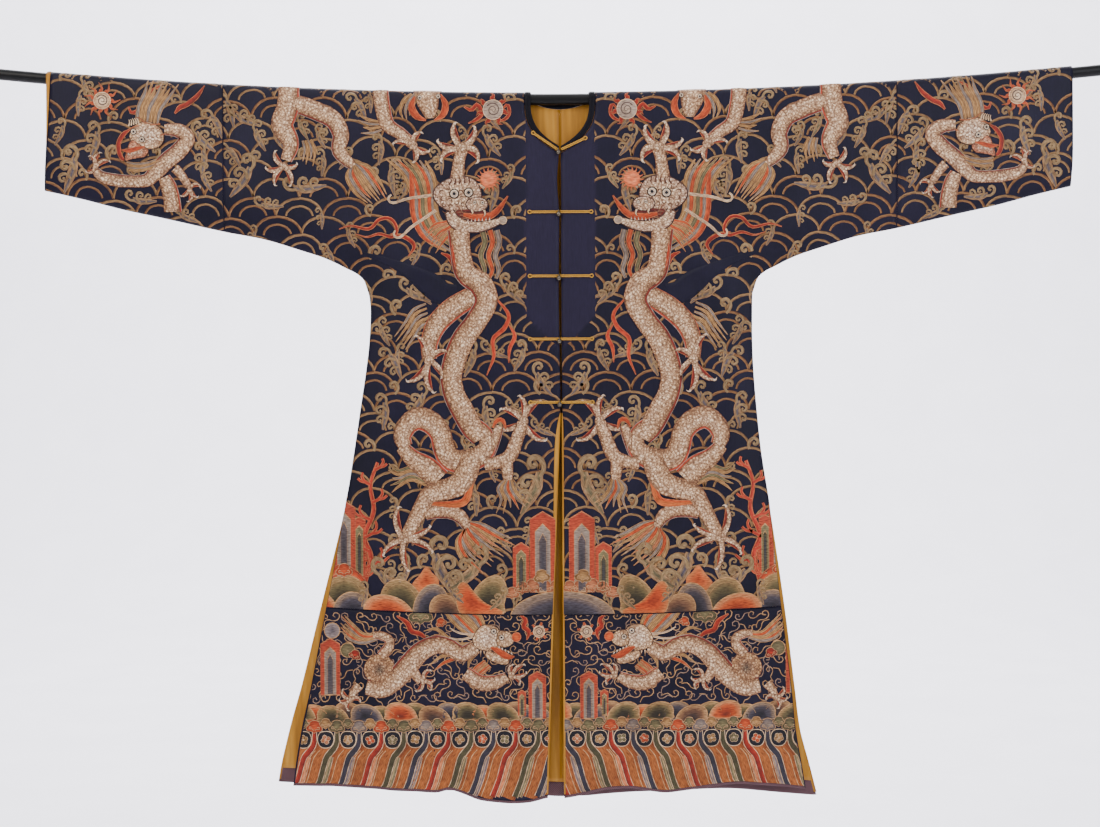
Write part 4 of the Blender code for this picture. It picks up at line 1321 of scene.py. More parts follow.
TAN = "A98560"
TAN_LIGHT = "BC9668"
GREY_TAN = "A0948A"
GREY_BLUE = "4A4D63"
CREAM = "E6CFAE"
CREAM_SHADE = "B4926C"
CORAL = "BE4218"
CORAL_LIGHT = "D06A34"
RED = "97281A"
RED_DEEP = "6E2019"
PINK = "BE744C"
OLIVE = "4E4A30"
INK = "17141F"
SEPIA = "5A3628"
SEPIA_DEEP = "4A2A20"
FOAM = "867052"
SILVER = "C4B4A2"
EMBER = "D9683E"
IVORY = "F2E6D8"
SHELL = "C9AF98"
UMBER = "6E4632"
CREST_INSIDES = (GREY_BLUE, "565A44", "5E5058", "3E4258")
NET_ACROSS = 92.0
NET_DOWN = 38.0
NET_SHIFT = 4.0


def wave_net(needle, start, end, top, low, seed, curls=0.5):
    """Rows of arcs between two distances across and two depths, a little uneven as hand work is."""
    chance = random.Random(seed)
    columns = range(math.floor(start / NET_ACROSS) - 1, math.ceil(end / NET_ACROSS) + 2)
    rows = range(math.floor(top / NET_DOWN) - 1, math.ceil(low / NET_DOWN) + 1)
    joints = {}
    for row in range(rows.start, rows.stop + 1):
        for column in columns:
            joints[row, column] = ((column + 0.5 * (row % 2)) * NET_ACROSS
                                   + chance.uniform(-NET_SHIFT, NET_SHIFT),
                                   row * NET_DOWN + chance.uniform(-NET_SHIFT, NET_SHIFT))
    for row in rows:
        for column in columns:
            apex = np.array(joints[row, column])
            tone = chance.random()
            fill = ["5E4630", "A48458"] if tone < 0.55 else ["5C3A24", "9A7448"]
            for step in (0, 1):
                low_column = column + step - (1 if row % 2 == 0 else 0)
                if (row + 1, low_column) not in joints:
                    continue
                foot = np.array(joints[row + 1, low_column])
                turn = np.radians(np.linspace(0, 84, 7))[:, None]
                arc = apex + (foot - apex) * np.concatenate([np.sin(turn), 1 - np.cos(turn)], axis=1)
                if start - 60 < foot[0] < end + 60:
                    needle.band(arc, [4.9, 5.3, 4.5], fill, layer=0, step=0.0085)
                    if tone > 0.32:
                        needle.band(apex + [0, 15] + (arc - apex) * 0.58, [4.0, 4.4, 4.0], fill, layer=0,
                                    step=0.0085)
            if chance.random() < curls and start < apex[0] < end:
                size = chance.uniform(20, 30)
                lean = chance.uniform(-25, 45)
                flip = chance.random() < 0.5
                if chance.random() < 0.45:
                    crest(needle, apex, size, lean, flip, 1, chance.choice(CREST_INSIDES))
                else:
                    crest_curl(needle, apex, size * 0.8, lean, flip, 1)


CURL = [(0, 0.15), (-0.16, -0.35), (0.02, -0.80), (0.42, -0.98), (0.74, -0.72), (0.62, -0.38),
        (0.34, -0.42)]


def crest_curl(needle, place, size, turn, flip, layer, fill=(FOAM, "A08A64"), rim=None):
    """One curled tip of foam, which ends in a small ball."""
    line = placed(CURL, place, size, turn, flip)
    width = size * 0.27
    needle.band(line, [width * 0.8, width * 1.15, width * 1.2, width, width * 0.8], list(fill),
                rim=rim, layer=layer, step=0.005)
    ball = np.radians(np.arange(0, 360, 72))
    centre = placed([(0.38, -0.50)], place, size, turn, flip)[0]
    outline = centre + np.stack([np.cos(ball), np.sin(ball)], axis=-1) * size * 0.17
    needle.patch(outline, list(fill), layer=layer + 1, step=0.005)


def crest(needle, place, size, turn, flip, layer, inside=GREY_BLUE):
    """A wave crest: a tapering stem with hooks that lean the same way, dark inside and tan outside."""
    stem = placed([(0.60, 1.0), (0.30, 0.50), (0.06, 0.05), (-0.05, -0.45)], place, size, turn, flip)
    needle.band(stem, [size * 0.10, size * 0.34, size * 0.40, size * 0.24],
                [TAN, FOAM, inside, FOAM, TAN], layer=layer)
    for spot, share, lean in (((-0.08, -0.38), 0.60, -6), ((0.04, 0.02), 0.52, 34),
                              ((0.26, 0.42), 0.44, 52)):
        centre = placed([spot], place, size, turn, flip)[0]
        tilt = turn + (-lean if flip else lean)
        crest_curl(needle, centre, size * share, tilt, flip, layer + 1, (FOAM, "9C8660"))


# Small parts that the motifs share: discs, ribbons, fans of hair, flaming pearls and scrolls.

RED_PAIR = ("AC2F18", "6C170E")
CORAL_PAIR = ("C6562A", "943210")
TAN_PAIR = ("B8925F", "77552F")
GREY_PAIR = ("958A80", "575055")
GREEN_PAIR = ("7E7856", "45432C")
BLUE_PAIR = ("66646E", "302F3E")
PINK_PAIR = ("C07F58", "8A4628")


def disc(place, radius, count=8):
    ring = np.radians(np.arange(0, 360, 360 / count))
    return np.array(place) + radius * np.stack([np.cos(ring), np.sin(ring)], axis=-1)


def ribbon(needle, line, width, layer, pair=RED_PAIR, rim=PINK, taper=(0.3, 1, 1, 0.9, 0.2)):
    """A fluttering band of silk, narrow at both ends."""
    needle.band(line, [width * share for share in taper], [pair[1], pair[0]], rim=rim, layer=layer,
                rim_width=1.1)


def fan(needle, first, last, count, width, layer, pairs, rim=TAN_LIGHT, taper=(0.5, 1, 0.9, 0.7, 0.15)):
    """Locks of hair or flame laid side by side between two drawn lines."""
    first = np.array(first, float)
    last = np.array(last, float)
    for number in range(count):
        line = first + (last - first) * number / (count - 1)
        line[-1] += (line[-1] - line[-2]) * 0.22 * math.sin(number * 2.3)
        light, dark = pairs[number % len(pairs)]
        needle.band(line, [width * share for share in taper], [dark, light, dark], rim=rim,
                    layer=layer + number % 2, rim_width=0.8)


def pearl(needle, place, radius, layer, flames=9, reach=1.9, pair=RED_PAIR,
          disc_fill=(GREY_TAN, SILVER)):
    """A flaming pearl: a pale disc with a spiral in it and red tongues round it."""
    for number in range(flames):
        tongue = placed([(0.7, -0.15), (1.1, 0.12), (1.4, -0.08), (reach, 0.25)], place, radius,
                        360 * number / flames + 12)
        needle.band(tongue, [radius * 0.5, radius * 0.45, radius * 0.26, 0.6], [pair[1], pair[0]],
                    rim=PINK, layer=layer, rim_width=1.0, step=0.004)
    needle.patch(disc(place, radius, 12), list(disc_fill), rim=CREAM, layer=layer + 2,
                 rim_width=1.4)
    turn = np.linspace(0, 12, 20)
    reach = radius * (0.1 + 0.58 * turn / 12)
    spiral = np.array(place) + reach[:, None] * np.stack([np.cos(turn), np.sin(turn)], axis=-1)
    needle.band(spiral, [1.0, 2.0, 2.2], ["5A4A48"], layer=layer + 3, step=0.004)


def scroll(needle, place, size, turn, flip, layer=1, colour=CREAM_SHADE):
    """A thin curling line of cloud or foam."""
    line = placed([(-0.9, 0.5), (-0.5, 0.1), (0, 0.2), (0.42, 0.05), (0.5, -0.36), (0.16, -0.52),
                   (-0.04, -0.28), (0.16, -0.12)], place, size, turn, flip)
    needle.band(line, [1.3, 1.7, 1.5], [colour], layer=layer, step=0.006)


def cloud_head(needle, place, size, pair, layer, rim=CREAM_SHADE, turn=0.0):
    """A cloud head: round lobes over a narrow neck, with a curl in each of the two cheeks."""
    lobes = [(0.0, 0.75), (-0.30, 0.50), (-0.72, 0.52), (-1.02, 0.20), (-0.86, -0.16), (-0.64, -0.26),
             (-0.58, -0.66), (-0.20, -0.86), (0.20, -0.86), (0.58, -0.66), (0.64, -0.26), (0.86, -0.16),
             (1.02, 0.20), (0.72, 0.52), (0.30, 0.50)]
    needle.patch(placed(lobes, place, size, turn), [pair[1], pair[0]], rim=rim, layer=layer,
                 rim_width=1.2, step=0.005)
    for side in (-1, 1):
        curl = placed([(side * 0.08, 0.36), (side * 0.30, 0.16), (side * 0.62, 0.24),
                       (side * 0.56, -0.06), (side * 0.34, 0.0)], place, size, turn)
        needle.band(curl, [1.2, 1.5, 1.2], [rim], layer=layer + 2, step=0.004)


# The lower band's pattern: streams of standing water in many colours up to a row of dark cells with
# flowers, cloud heads on the streams and low hills behind, all with fine cream outlines.

PERIOD = 43.5
STREAM_DEPTH = 1243
STREAMS = [(BLUE_PAIR, ("8C8084", "625A66")), (GREEN_PAIR, ("8A8462", "5C5A42")),
           (RED_PAIR, ("D98A5C", "B5603C"))]
FLESH_TONES = ["64290E", "8E4C20", "A6622E", "7E3E18"]
FLOWERS = [PINK_PAIR, TAN_PAIR, GREEN_PAIR, CORAL_PAIR, TAN_PAIR]


def stream_line(start, top):
    line = np.array([(0, 1222), (0, 1236), (1, 1252), (9, 1265), (20, 1278), (27, 1300), (34, 1325),
                     (46, 1356)], float)
    return line[line[:, 1] >= top] + [start, 0]


def standing_water(needle, reach):
    """Streams that fall from the cloud heads, between the cells, and lean outwards to the hem."""
    for number in range(-2, math.ceil(reach / PERIOD)):
        start = 5 + number * PERIOD
        sway = 2.5 * math.sin(number * 1.9)
        stem, second = STREAMS[number % 3]
        wide = stream_line(start + 22, 1250)
        needle.band(wide, [38, 44, 46], FLESH_TONES, layer=0, step=0.009)
        for offset, width in ((24 + sway, 1.4), (33 - sway, 1.1)):
            needle.band(stream_line(start + offset, 1262), [width], ["CBA97C"], layer=2, step=0.009)
        needle.band(stream_line(start - 9.5, 1270), [7, 10, 9, 9], [second[1], second[0], second[1]],
                    rim="DCC4A4", layer=1, rim_width=0.9, step=0.009)
        deep = stem[1] if stem is not RED_PAIR else "A8321F"
        needle.band(stream_line(start, 1220), [9, 10, 13, 12, 11, 12], [deep, stem[1]], rim="DCC4A4",
                    layer=3, rim_width=1.1, step=0.009)


def flower_cells(needle, reach):
    """A dark six-sided cell between each two streams, with its own flower medallion."""
    for number in range(-1, math.ceil(reach / PERIOD)):
        place = np.array([5 + (number + 0.5) * PERIOD, STREAM_DEPTH + 1.0])
        outline = place + np.array([(-16.5, 0), (-10, -15), (10, -15), (16.5, 0), (9, 15), (-9, 15)])
        needle.patch(outline, [NAVY_DEEP, INK], rim=CREAM, layer=5, rim_width=1.2, step=0.005)
        pair = FLOWERS[number % 5]
        for turn in range(0, 360, 72 if number % 2 else 90):
            middle = placed([(0, -5.2)], place, 1, turn + number * 20)[0]
            needle.patch(disc(middle, 4.6, 6), [pair[1], pair[0]], rim=CREAM, layer=7,
                         rim_width=0.7, step=0.004)
        needle.patch(disc(place, 3.0, 6), [pair[0], CREAM], layer=9, step=0.003)


def hill(needle, place, width, height, fill, layer, rim=TAN_LIGHT, slant=0.0):
    """A rounded hill or rock, lit along its top, its dark side inwards."""
    turn = np.radians(np.linspace(180, 360, 9))
    dome = np.stack([np.cos(turn) * width / 2 - slant * np.sin(turn), np.sin(turn) * height], axis=-1)
    foot = np.array([(width * 0.5, height * 0.3), (0, height * 0.4), (-width * 0.5, height * 0.3)])
    needle.patch(np.concatenate([dome, foot]) + np.array(place), list(fill), rim=rim, layer=layer,
                 rim_width=1.5, centre=np.array(place) + [0, height * 0.1], step=0.007)
    inner = dome[1:-1] * 0.80 + np.array(place)
    needle.band(inner, [0.8, 1.8, 0.8], [fill[0]], layer=layer + 1, step=0.006)


OLIVE_ROCK = ("A08458", "5E5638", "302C1E", "242018")
GREY_ROCK = ("8E7A66", "45424E", "24222E", "1A1822")
CORAL_ROCK = ("C88C5C", "BC5626", "963814", "5E2010")
TAN_ROCK = ("A6825A", "70503A", "40302A", "2C2426")


def cloud_border(needle, reach):
    """Cloud heads over the streams and cells, before a row of low hills."""
    for number in range(-1, math.ceil(reach / 33) + 1):
        rock = (OLIVE_ROCK, GREY_ROCK, TAN_ROCK, OLIVE_ROCK, CORAL_ROCK)[number % 5]
        hill(needle, (18 + number * 33, 1200 + 4 * math.sin(number * 2.0)), 62, 26, rock, 2 + number % 2,
             slant=8)
    for number in range(-1, math.ceil(reach / PERIOD) + 1):
        pair = (GREY_PAIR, GREEN_PAIR, CORAL_PAIR)[number % 3]
        cloud_head(needle, (5 + (number + 0.5) * PERIOD, 1214), 13.5, (TAN_PAIR, GREEN_PAIR)[number % 2], 6)
        cloud_head(needle, (5 + number * PERIOD, 1220), 16.5, pair, 9, turn=4 * math.sin(number))


# The dragons: bodies of gold-wrapped thread couched down in scales, with manes, fins and flames in
# dyed silk. They climb through the net with spread claws, and no two lengths are the same.

FLANK = ["9E7650", "DDBF98", "EAD2B0", "B89068"]


def scaled(needle, line, widths, layer, fin=1, crown=0.7):
    """A length of scaled body, with a red fin down one side of it."""
    if fin:
        needle.band(line, [width * 0.34 for width in widths], [RED_DEEP, "B5482E"], rim=GREY_TAN,
                    layer=layer - 1, rim_width=1.0, shift=[fin * width * 0.48 for width in widths])
    needle.band(line, [width * 1.07 for width in widths], FLANK, rim="7A4A38", layer=layer,
                rim_width=0.8, kind=SCALES, crown=crown)


def foot(needle, palm, toes, layer, thick=13.0):
    """A foot: each toe is a tip and how far it bows, dark red within the bow, with a hooked nail."""
    palm = np.array(palm, float)
    for across, depth, bow in toes:
        way = np.array([across, depth]) - palm
        side = np.array([-way[1], way[0]]) / np.linalg.norm(way) * bow
        along = [palm + way * share + side * lean
                 for share, lean in ((0, 0), (0.3, 0.7), (0.6, 1.0), (0.85, 0.7), (1.0, 0.1))]
        inner = [palm + way * share + side * lean
                 for share, lean in ((0.2, 0.2), (0.5, 0.42), (0.78, 0.35), (0.96, 0.0))]
        nail = [palm + way * share + side * lean
                for share, lean in ((0.96, 0.25), (1.06, -0.15), (1.02, -0.75))]
        needle.band(inner, [thick * 0.4, thick * 0.6, thick * 0.5, 1.0], [RED_DEEP, "8E2A20"],
                    rim=PINK, layer=layer, rim_width=0.8, step=0.004)
        needle.band(along, [thick, thick * 0.82, thick * 0.72, thick * 0.6, thick * 0.42],
                    [CREAM_SHADE, CREAM, CREAM], rim="8A5E48", layer=layer + 2, rim_width=0.9,
                    kind=SCALES, crown=0.5, step=0.004)
        needle.band(nail, [thick * 0.42, thick * 0.3, 0.5], [IVORY, CREAM], rim=GREY_TAN,
                    layer=layer + 3, rim_width=0.6, step=0.003)
    needle.patch(disc(palm, thick * 0.78), [CREAM_SHADE, CREAM], rim="8A5E48", layer=layer + 4,
                 rim_width=0.8, kind=SCALES, crown=0.5, step=0.005)


def eye(needle, place, radius, layer):
    for number, (share, colour) in enumerate(((1.0, "2A1812"), (0.76, "FAF0DC"), (0.52, "8A5A3C"),
                                              (0.44, "FAF0DC"), (0.34, INK))):
        needle.patch(disc(place, radius * share), [colour], layer=layer + number,
                     step=max(0.0012, radius * share * 0.0006))


def great_head(needle):
    """The large dragon's head, turned to the centre front, under its own raised foot."""
    manes = [TAN_PAIR, GREY_PAIR, CORAL_PAIR, GREEN_PAIR, TAN_PAIR, CORAL_PAIR, GREY_PAIR]
    fan(needle, [(338, 116), (304, 148), (288, 190), (284, 236), (262, 272), (222, 296)],
        [(262, 120), (248, 146), (242, 172), (242, 206), (236, 232), (212, 262)], 8, 8.5, 8, manes,
        taper=(0.3, 0.9, 1, 1, 1, 0.6))
    ribbon(needle, [(292, 140), (288, 170), (286, 225), (268, 266), (236, 290)], 10, 12, CORAL_PAIR)
    fan(needle, [(206, 232), (222, 240), (244, 244), (262, 262)],
        [(200, 246), (212, 262), (226, 276), (240, 296)], 7, 7.0, 12, [CORAL_PAIR, PINK_PAIR, TAN_PAIR])
    foot(needle, (191, 96), [(204, 50, 9), (166, 58, -9), (160, 120, 12), (236, 84, 8), (230, 118, -9)],
         16, 15)
    scaled(needle, [(190, 96), (196, 120), (200, 156)], [24, 22, 26], 15, 0)
    for start, turn in (((240, 186), -4), ((242, 217), 22)):
        horn = placed([(0, 0), (28, 6), (56, 12), (84, 22), (94, 14), (88, 6)], start, 1.0, turn)
        needle.band(horn, [6, 5.5, 5, 4.5, 4, 3], [UMBER, CREAM, UMBER], rim=CREAM, layer=17,
                    rim_width=1.2)
    skull = []
    for turn in np.radians(np.arange(0, 360, 20)):
        reach = 1 + 0.05 * math.cos(3 * turn)
        skull.append((198 + 48 * reach * math.cos(turn), 187 + 37 * reach * math.sin(turn)))
    muzzle = [(162 + 23 * math.cos(turn), 206 + 15 * math.sin(turn))
              for turn in np.radians(np.arange(0, 360, 30))]
    hide = [SHELL, CREAM, CREAM]
    needle.patch(skull, hide, rim=SEPIA_DEEP, layer=18, rim_width=2.2, crown=0.3, kind=SCALES)
    needle.patch([(200, 214), (168, 217), (142, 220), (132, 230), (160, 242), (200, 240)],
                 [RED_DEEP, "2A1214"], rim=SEPIA, layer=19, rim_width=1.0)
    needle.band([(216, 220), (203, 241), (172, 250), (140, 246), (116, 237)],
                [20, 27, 24, 20, 13], hide, rim=SEPIA_DEEP, layer=20, rim_width=2.2, crown=0.3, kind=SCALES)
    needle.patch(muzzle, hide, rim=SEPIA_DEEP, layer=22, rim_width=2.0, crown=0.3, kind=SCALES)
    ribbon(needle, [(188, 226), (160, 231), (136, 228), (117, 212), (102, 190)], 13, 25, CORAL_PAIR,
           taper=(0.6, 1, 1, 0.8, 0.2))
    for start, reach in ((148, 13), (172, 9)):
        fang = placed([(0, 0), (-2, reach * 0.6), (1, reach)], (start, 217), 1.0, 0)
        needle.band(fang, [5.0, 4.0, 1.0], [CREAM], rim=SEPIA, layer=27, rim_width=0.8, step=0.003)
    for number in range(7):
        tooth = placed([(0, 0), (-1, -6)], (180 - number * 7, 240 - number * 0.6), 1.0, 0)
        needle.band(tooth, [3.4, 0.8], [IVORY], rim=UMBER, layer=26, rim_width=0.6, step=0.003)
    for number in range(5):
        brow = placed([(0, 0), (-1, -8), (2, -14)], (216 - number * 10, 168 - number * 1.0), 1.0,
                      -24 + number * 9)
        needle.band(brow, [3.0, 2.6, 0.8], [SEPIA], layer=24, step=0.003)
    for number in range(22):
        column, row = divmod(number, 5)
        start = (232 - column * 13 - row * 2, 170 + row * 12 + column * 4)
        curl = placed([(-5, 1), (-1, -4), (4, -2), (3, 3)], start, 1.0, number * 47)
        needle.band(curl, [0.8, 2.2, 1.8, 0.6], ["5E3C2C"], layer=23, step=0.003)
    for number in range(6):
        fold = placed([(-8, 0), (0, -3), (8, 2)], (200 - number * 4, 212 + number * 6), 1.0, -35)
        needle.band(fold, [0.8, 1.8, 0.8], ["8A5E48"], layer=24, step=0.003)
    for place, radius in (((178, 183), 10.0), ((206, 185), 10.0), ((151, 203), 4.0), ((166, 202), 4.0)):
        eye(needle, place, radius, 27)
    for number in range(10):
        spine = placed([(0, 0), (0, 7)], (146 - number * 2.2 + 12, 170 + abs(number - 4) * -1.2), 1.0,
                       30 - number * 8)
        needle.band(spine, [1.6, 0.5], [CREAM], rim=None, layer=21, step=0.003)
    for number in range(16):
        spike = placed([(14, 0), (19, 1.5), (24, 0)], (139, 158), 1.0, number * 22.5)
        needle.band(spike, [3.4, 2.4, 0.5], [EMBER], rim=PINK, layer=21, rim_width=0.6, step=0.003)
    needle.patch(disc((139, 158), 16.5, 12), [EMBER, "E58A5E", EMBER], rim=PINK, layer=23,
                 crown=0.6)
    needle.patch(disc((112, 237), 8.5), [GREY_TAN, SILVER], rim=CREAM, layer=24)
    for start in (152, 137, 124):
        hang = [(start, 256), (start - 5, 280), (start + 3, 305), (start - 4, 332), (start + 2, 350)]
        pair = (GREEN_PAIR, CORAL_PAIR, GREY_PAIR)[(152 - start) // 13 % 3]
        needle.band(hang, [11, 11, 10, 9, 6], [pair[1], pair[0], pair[1]], rim=CREAM_SHADE, layer=9,
                    rim_width=1.0)


def great_body(needle):
    """The large dragon's neck, arm, coils, hind leg and tail, down to the rocks."""
    arm = [(170, 382), (210, 406), (241, 436), (256, 472), (257, 505)]
    scaled(needle, arm, [32, 36, 34, 28, 24], 12, 1)
    needle.band(arm, [4.5], [CORAL], rim=PINK, layer=12, shift=(-16, -18, -17, -14, -11), rim_width=0.8)
    fan(needle, [(262, 398), (286, 410), (304, 436), (324, 462)], [(256, 434), (272, 442), (288, 466),
        (302, 486)], 5, 6.5, 11, [GREY_PAIR, TAN_PAIR])
    foot(needle, (257, 508), [(280, 462, -8), (296, 548, 10), (250, 568, -10), (222, 492, 8),
                              (232, 540, 6)], 15)
    neck = [(196, 255), (192, 300), (183, 338), (154, 360), (143, 394), (162, 432), (188, 468),
            (204, 505), (212, 540), (206, 575), (190, 606), (172, 640), (158, 662)]
    scaled(needle, neck, [36, 34, 36, 40, 38, 36, 38, 38, 36, 36, 38, 36, 26], 19, -1)
    needle.band([(204, 262), (208, 300), (200, 338)], [4, 7, 4], [RED, CORAL], rim=PINK, layer=21,
                rim_width=0.9)
    scaled(needle, [(162, 704), (146, 690), (132, 664), (121, 636)], [28, 25, 20, 15], 12, -1)
    ribbon(needle, [(134, 640), (126, 626), (114, 626), (108, 644)], 9, 11, CORAL_PAIR)
    scaled(needle, [(150, 712), (122, 706), (100, 694), (86, 660), (75, 630)],
           [22, 24, 26, 24, 20], 14, 0)
    scaled(needle, [(108, 700), (106, 722), (105, 742)], [24, 22, 17], 15, 0)
    foot(needle, (74, 628), [(80, 580, -8), (42, 590, 9), (34, 664, -10), (116, 604, -8), (122, 640, 8)],
         5)
    fan(needle, [(112, 742), (124, 758), (118, 780), (128, 806)], [(98, 742), (92, 760), (78, 778),
        (56, 790)], 6, 7, 10, [GREY_PAIR, TAN_PAIR, GREY_PAIR, CORAL_PAIR])
    lower = [(172, 640), (150, 652), (146, 676), (164, 696), (192, 703), (216, 698), (228, 676),
             (234, 650), (252, 628), (278, 619), (300, 632), (311, 656), (304, 676)]
    scaled(needle, lower, [34, 26, 30, 36, 38, 38, 36, 36, 38, 38, 34, 30, 24], 15, 1)
    scaled(needle, [(312, 676), (290, 700), (264, 718), (240, 742)], [22, 30, 38, 40], 17, 1)
    scaled(needle, [(176, 700), (184, 724), (198, 748), (228, 760), (256, 768), (272, 792), (288, 822),
                    (304, 850)], [38, 42, 42, 38, 34, 30, 26, 22], 21, 0)
    needle.band([(166, 706), (174, 738), (187, 780), (214, 788), (258, 786)], [5, 9, 15, 14, 6],
                [CORAL, "B8632F", CORAL_LIGHT], rim=PINK, layer=22, rim_width=1.2)
    scaled(needle, [(266, 806), (240, 800), (214, 802), (194, 814), (184, 834)], [20, 24, 24, 22, 14],
           17, -1)
    fan(needle, [(190, 838), (204, 862), (196, 892), (164, 926)], [(182, 822), (156, 828), (124, 844),
        (92, 858)], 11, 8.5, 13, [TAN_PAIR, CORAL_PAIR, GREY_PAIR, PINK_PAIR])
    foot(needle, (308, 856), [(346, 884, -8), (318, 796, 10), (254, 878, 8), (300, 914, -7),
                              (258, 832, -6)], 22)
    fan(needle, [(262, 730), (290, 716), (318, 722), (336, 708)], [(262, 752), (292, 740), (316, 752),
        (330, 764)], 5, 7, 14, [GREEN_PAIR, TAN_PAIR, GREY_PAIR])


def shoulder_dragon(needle):
    """The dragon over the shoulder: its body crosses the ridge and its tail hangs before the arm."""
    tail = [(526, 4), (496, 12), (466, 24), (438, 40), (424, 70), (429, 98), (414, 118), (402, 130)]
    fan(needle, [(404, 128), (414, 152), (398, 182), (374, 202)], [(398, 122), (372, 132), (352, 158),
        (336, 188)], 8, 8, 9, [TAN_PAIR, GREY_PAIR, CORAL_PAIR, TAN_PAIR])
    scaled(needle, tail, [30, 31, 31, 30, 28, 24, 20, 14], 12, -1)
    scaled(needle, [(528, -26), (530, 14), (541, 50), (524, 86), (533, 118)],
           [34, 37, 37, 27, 19], 15, 1)
    fan(needle, [(500, 80), (496, 96), (500, 120)], [(484, 78), (476, 98), (480, 126)], 4, 7, 11,
        [GREY_PAIR, TAN_PAIR])
    foot(needle, (536, 130), [(553, 102, 7), (570, 134, 7), (554, 164, -8), (524, 166, 7),
                              (512, 126, -6)], 17, 11)


def ridge_motifs(needle):
    """Along the shoulder ridge: a limb, open jaws and a flaming pearl beside the neck."""
    scaled(needle, [(350, -20), (346, 14), (336, 50), (308, 70), (288, 88)],
           [26, 26, 24, 20, 18], 11, 1)
    foot(needle, (286, 90), [(270, 66, 7), (256, 102, -8), (284, 122, 7), (322, 86, -7)], 13, 12)
    fan(needle, [(352, 44), (372, 40), (392, 30)], [(346, 60), (364, 66), (384, 66)], 4, 7, 9,
        [TAN_PAIR, GREY_PAIR])
    scaled(needle, [(258, -30), (258, -6), (254, 18), (252, 38)], [52, 46, 34, 16], 10, 0)
    fan(needle, [(288, -10), (302, 2), (310, 22), (304, 40)], [(276, -10), (284, 8), (290, 22),
        (292, 36)], 3, 8, 9, [TAN_PAIR, GREY_PAIR])
    ribbon(needle, [(282, -4), (288, 16), (278, 34), (260, 42)], 14, 13, CORAL_PAIR)
    ribbon(needle, [(232, -8), (222, 12), (228, 32), (244, 42)], 13, 13, CORAL_PAIR)
    eye(needle, (236, -4), 5, 14)
    eye(needle, (272, -2), 5, 14)
    pearl(needle, (130, 22), 20, 8, 7, 1.7)
    ribbon(needle, [(186, 16), (172, 22), (160, 12), (152, 30), (164, 42), (178, 48)], 9, 7)
    ribbon(needle, [(112, 22), (102, 12), (98, 28), (106, 40), (124, 46)], 7, 7)


def cuff_dragon(needle):
    """The small dragon near the cuff, after a flaming pearl, its scales in a dense mesh."""
    fan(needle, [(822, 46), (818, 14), (806, -14), (800, -40)], [(782, 46), (776, 18), (760, -4),
        (744, -26)], 7, 9, 8, [GREY_PAIR, TAN_PAIR, TAN_PAIR])
    pearl(needle, (889, 0), 17, 8, 11, 2.1, CORAL_PAIR, (TAN, "EAD2B0", "F4E2C8"))
    ribbon(needle, [(838, 12), (832, 24), (818, 18), (808, -2), (790, -20), (772, -30)], 8, 7)
    ribbon(needle, [(748, 26), (738, 14), (724, 8), (704, -8), (690, -28)], 10, 7)
    body = [(768, 56), (740, 58), (722, 74), (738, 98), (762, 118), (782, 138), (802, 156), (830, 158),
            (862, 156), (892, 148), (906, 132)]
    scaled(needle, body, [18, 24, 26, 28, 28, 27, 22, 20, 21, 18, 12], 11, -1)
    scaled(needle, [(770, 150), (762, 168), (757, 192), (756, 216)], [20, 26, 28, 30], 13, 1)
    scaled(needle, [(748, 132), (734, 148), (722, 168)], [18, 16, 13], 13, 0)
    foot(needle, (720, 170), [(700, 168, 6), (706, 188, -6), (722, 196, 6), (736, 186, 5)], 15, 8)
    foot(needle, (902, 130), [(912, 108, -6), (894, 102, 7), (876, 118, 6), (920, 138, 5)], 15, 8)
    needle.patch([(834, 58), (820, 44), (796, 42), (776, 54), (768, 72), (776, 90), (800, 96), (822, 88),
                  (836, 76)], ["D8B88C", "F2DFC2", "F6E8D2"], rim="5A3A28", layer=17, kind=SCALES,
                 crown=0.3)
    ribbon(needle, [(834, 56), (848, 66), (858, 86), (852, 112), (838, 116)], 9, 13)
    needle.patch([(832, 76), (812, 88), (798, 96), (806, 110), (830, 114), (846, 118), (842, 98)],
                 [PINK, CREAM], rim="5A3A28", layer=18, kind=SCALES)
    ribbon(needle, [(806, 90), (822, 94), (838, 98), (852, 96)], 9, 21, CORAL_PAIR)
    for number in range(5):
        tooth = placed([(0, 0), (1, 4.5)], (812 + number * 6.5, 100 + number * 0.8), 1.0, 10)
        needle.band(tooth, [2.6, 0.6], [IVORY], rim=UMBER, layer=24, rim_width=0.4, step=0.003)
    for number in range(5):
        brow = placed([(0, 0), (0, -7), (3, -12)], (838 - number * 5, 50 - number * 1.2), 1.0,
                      -20 + number * 8)
        needle.band(brow, [2.2, 1.8, 0.6], [CREAM], layer=20, step=0.003)
    fan(needle, [(842, 120), (820, 124), (796, 120), (780, 112)], [(838, 136), (816, 136), (796, 132),
        (776, 124)], 4, 6, 12, [GREY_PAIR, TAN_PAIR])
    eye(needle, (828, 61), 6.4, 24)
    eye(needle, (812, 76), 6.4, 24)
    for number in range(9):
        curl = placed([(-4, 1), (-1, -3), (3, -2), (2, 2)], (780 + number % 3 * 11, 58 + number // 3 * 12),
                      1.0, number * 47)
        needle.band(curl, [0.8, 1.8, 1.4, 0.6], ["7A5038"], layer=20, step=0.003)
    for start, turn in (((836, 56), 190), ((776, 46), -8), ((768, 66), -2)):
        whisker = placed([(0, 0), (14, 3), (30, 1), (44, -7), (50, -2)], start, 1.0, turn)
        needle.band(whisker, [3, 2.6, 2.2, 1.6, 1.2], [UMBER, PINK], layer=18, step=0.004)


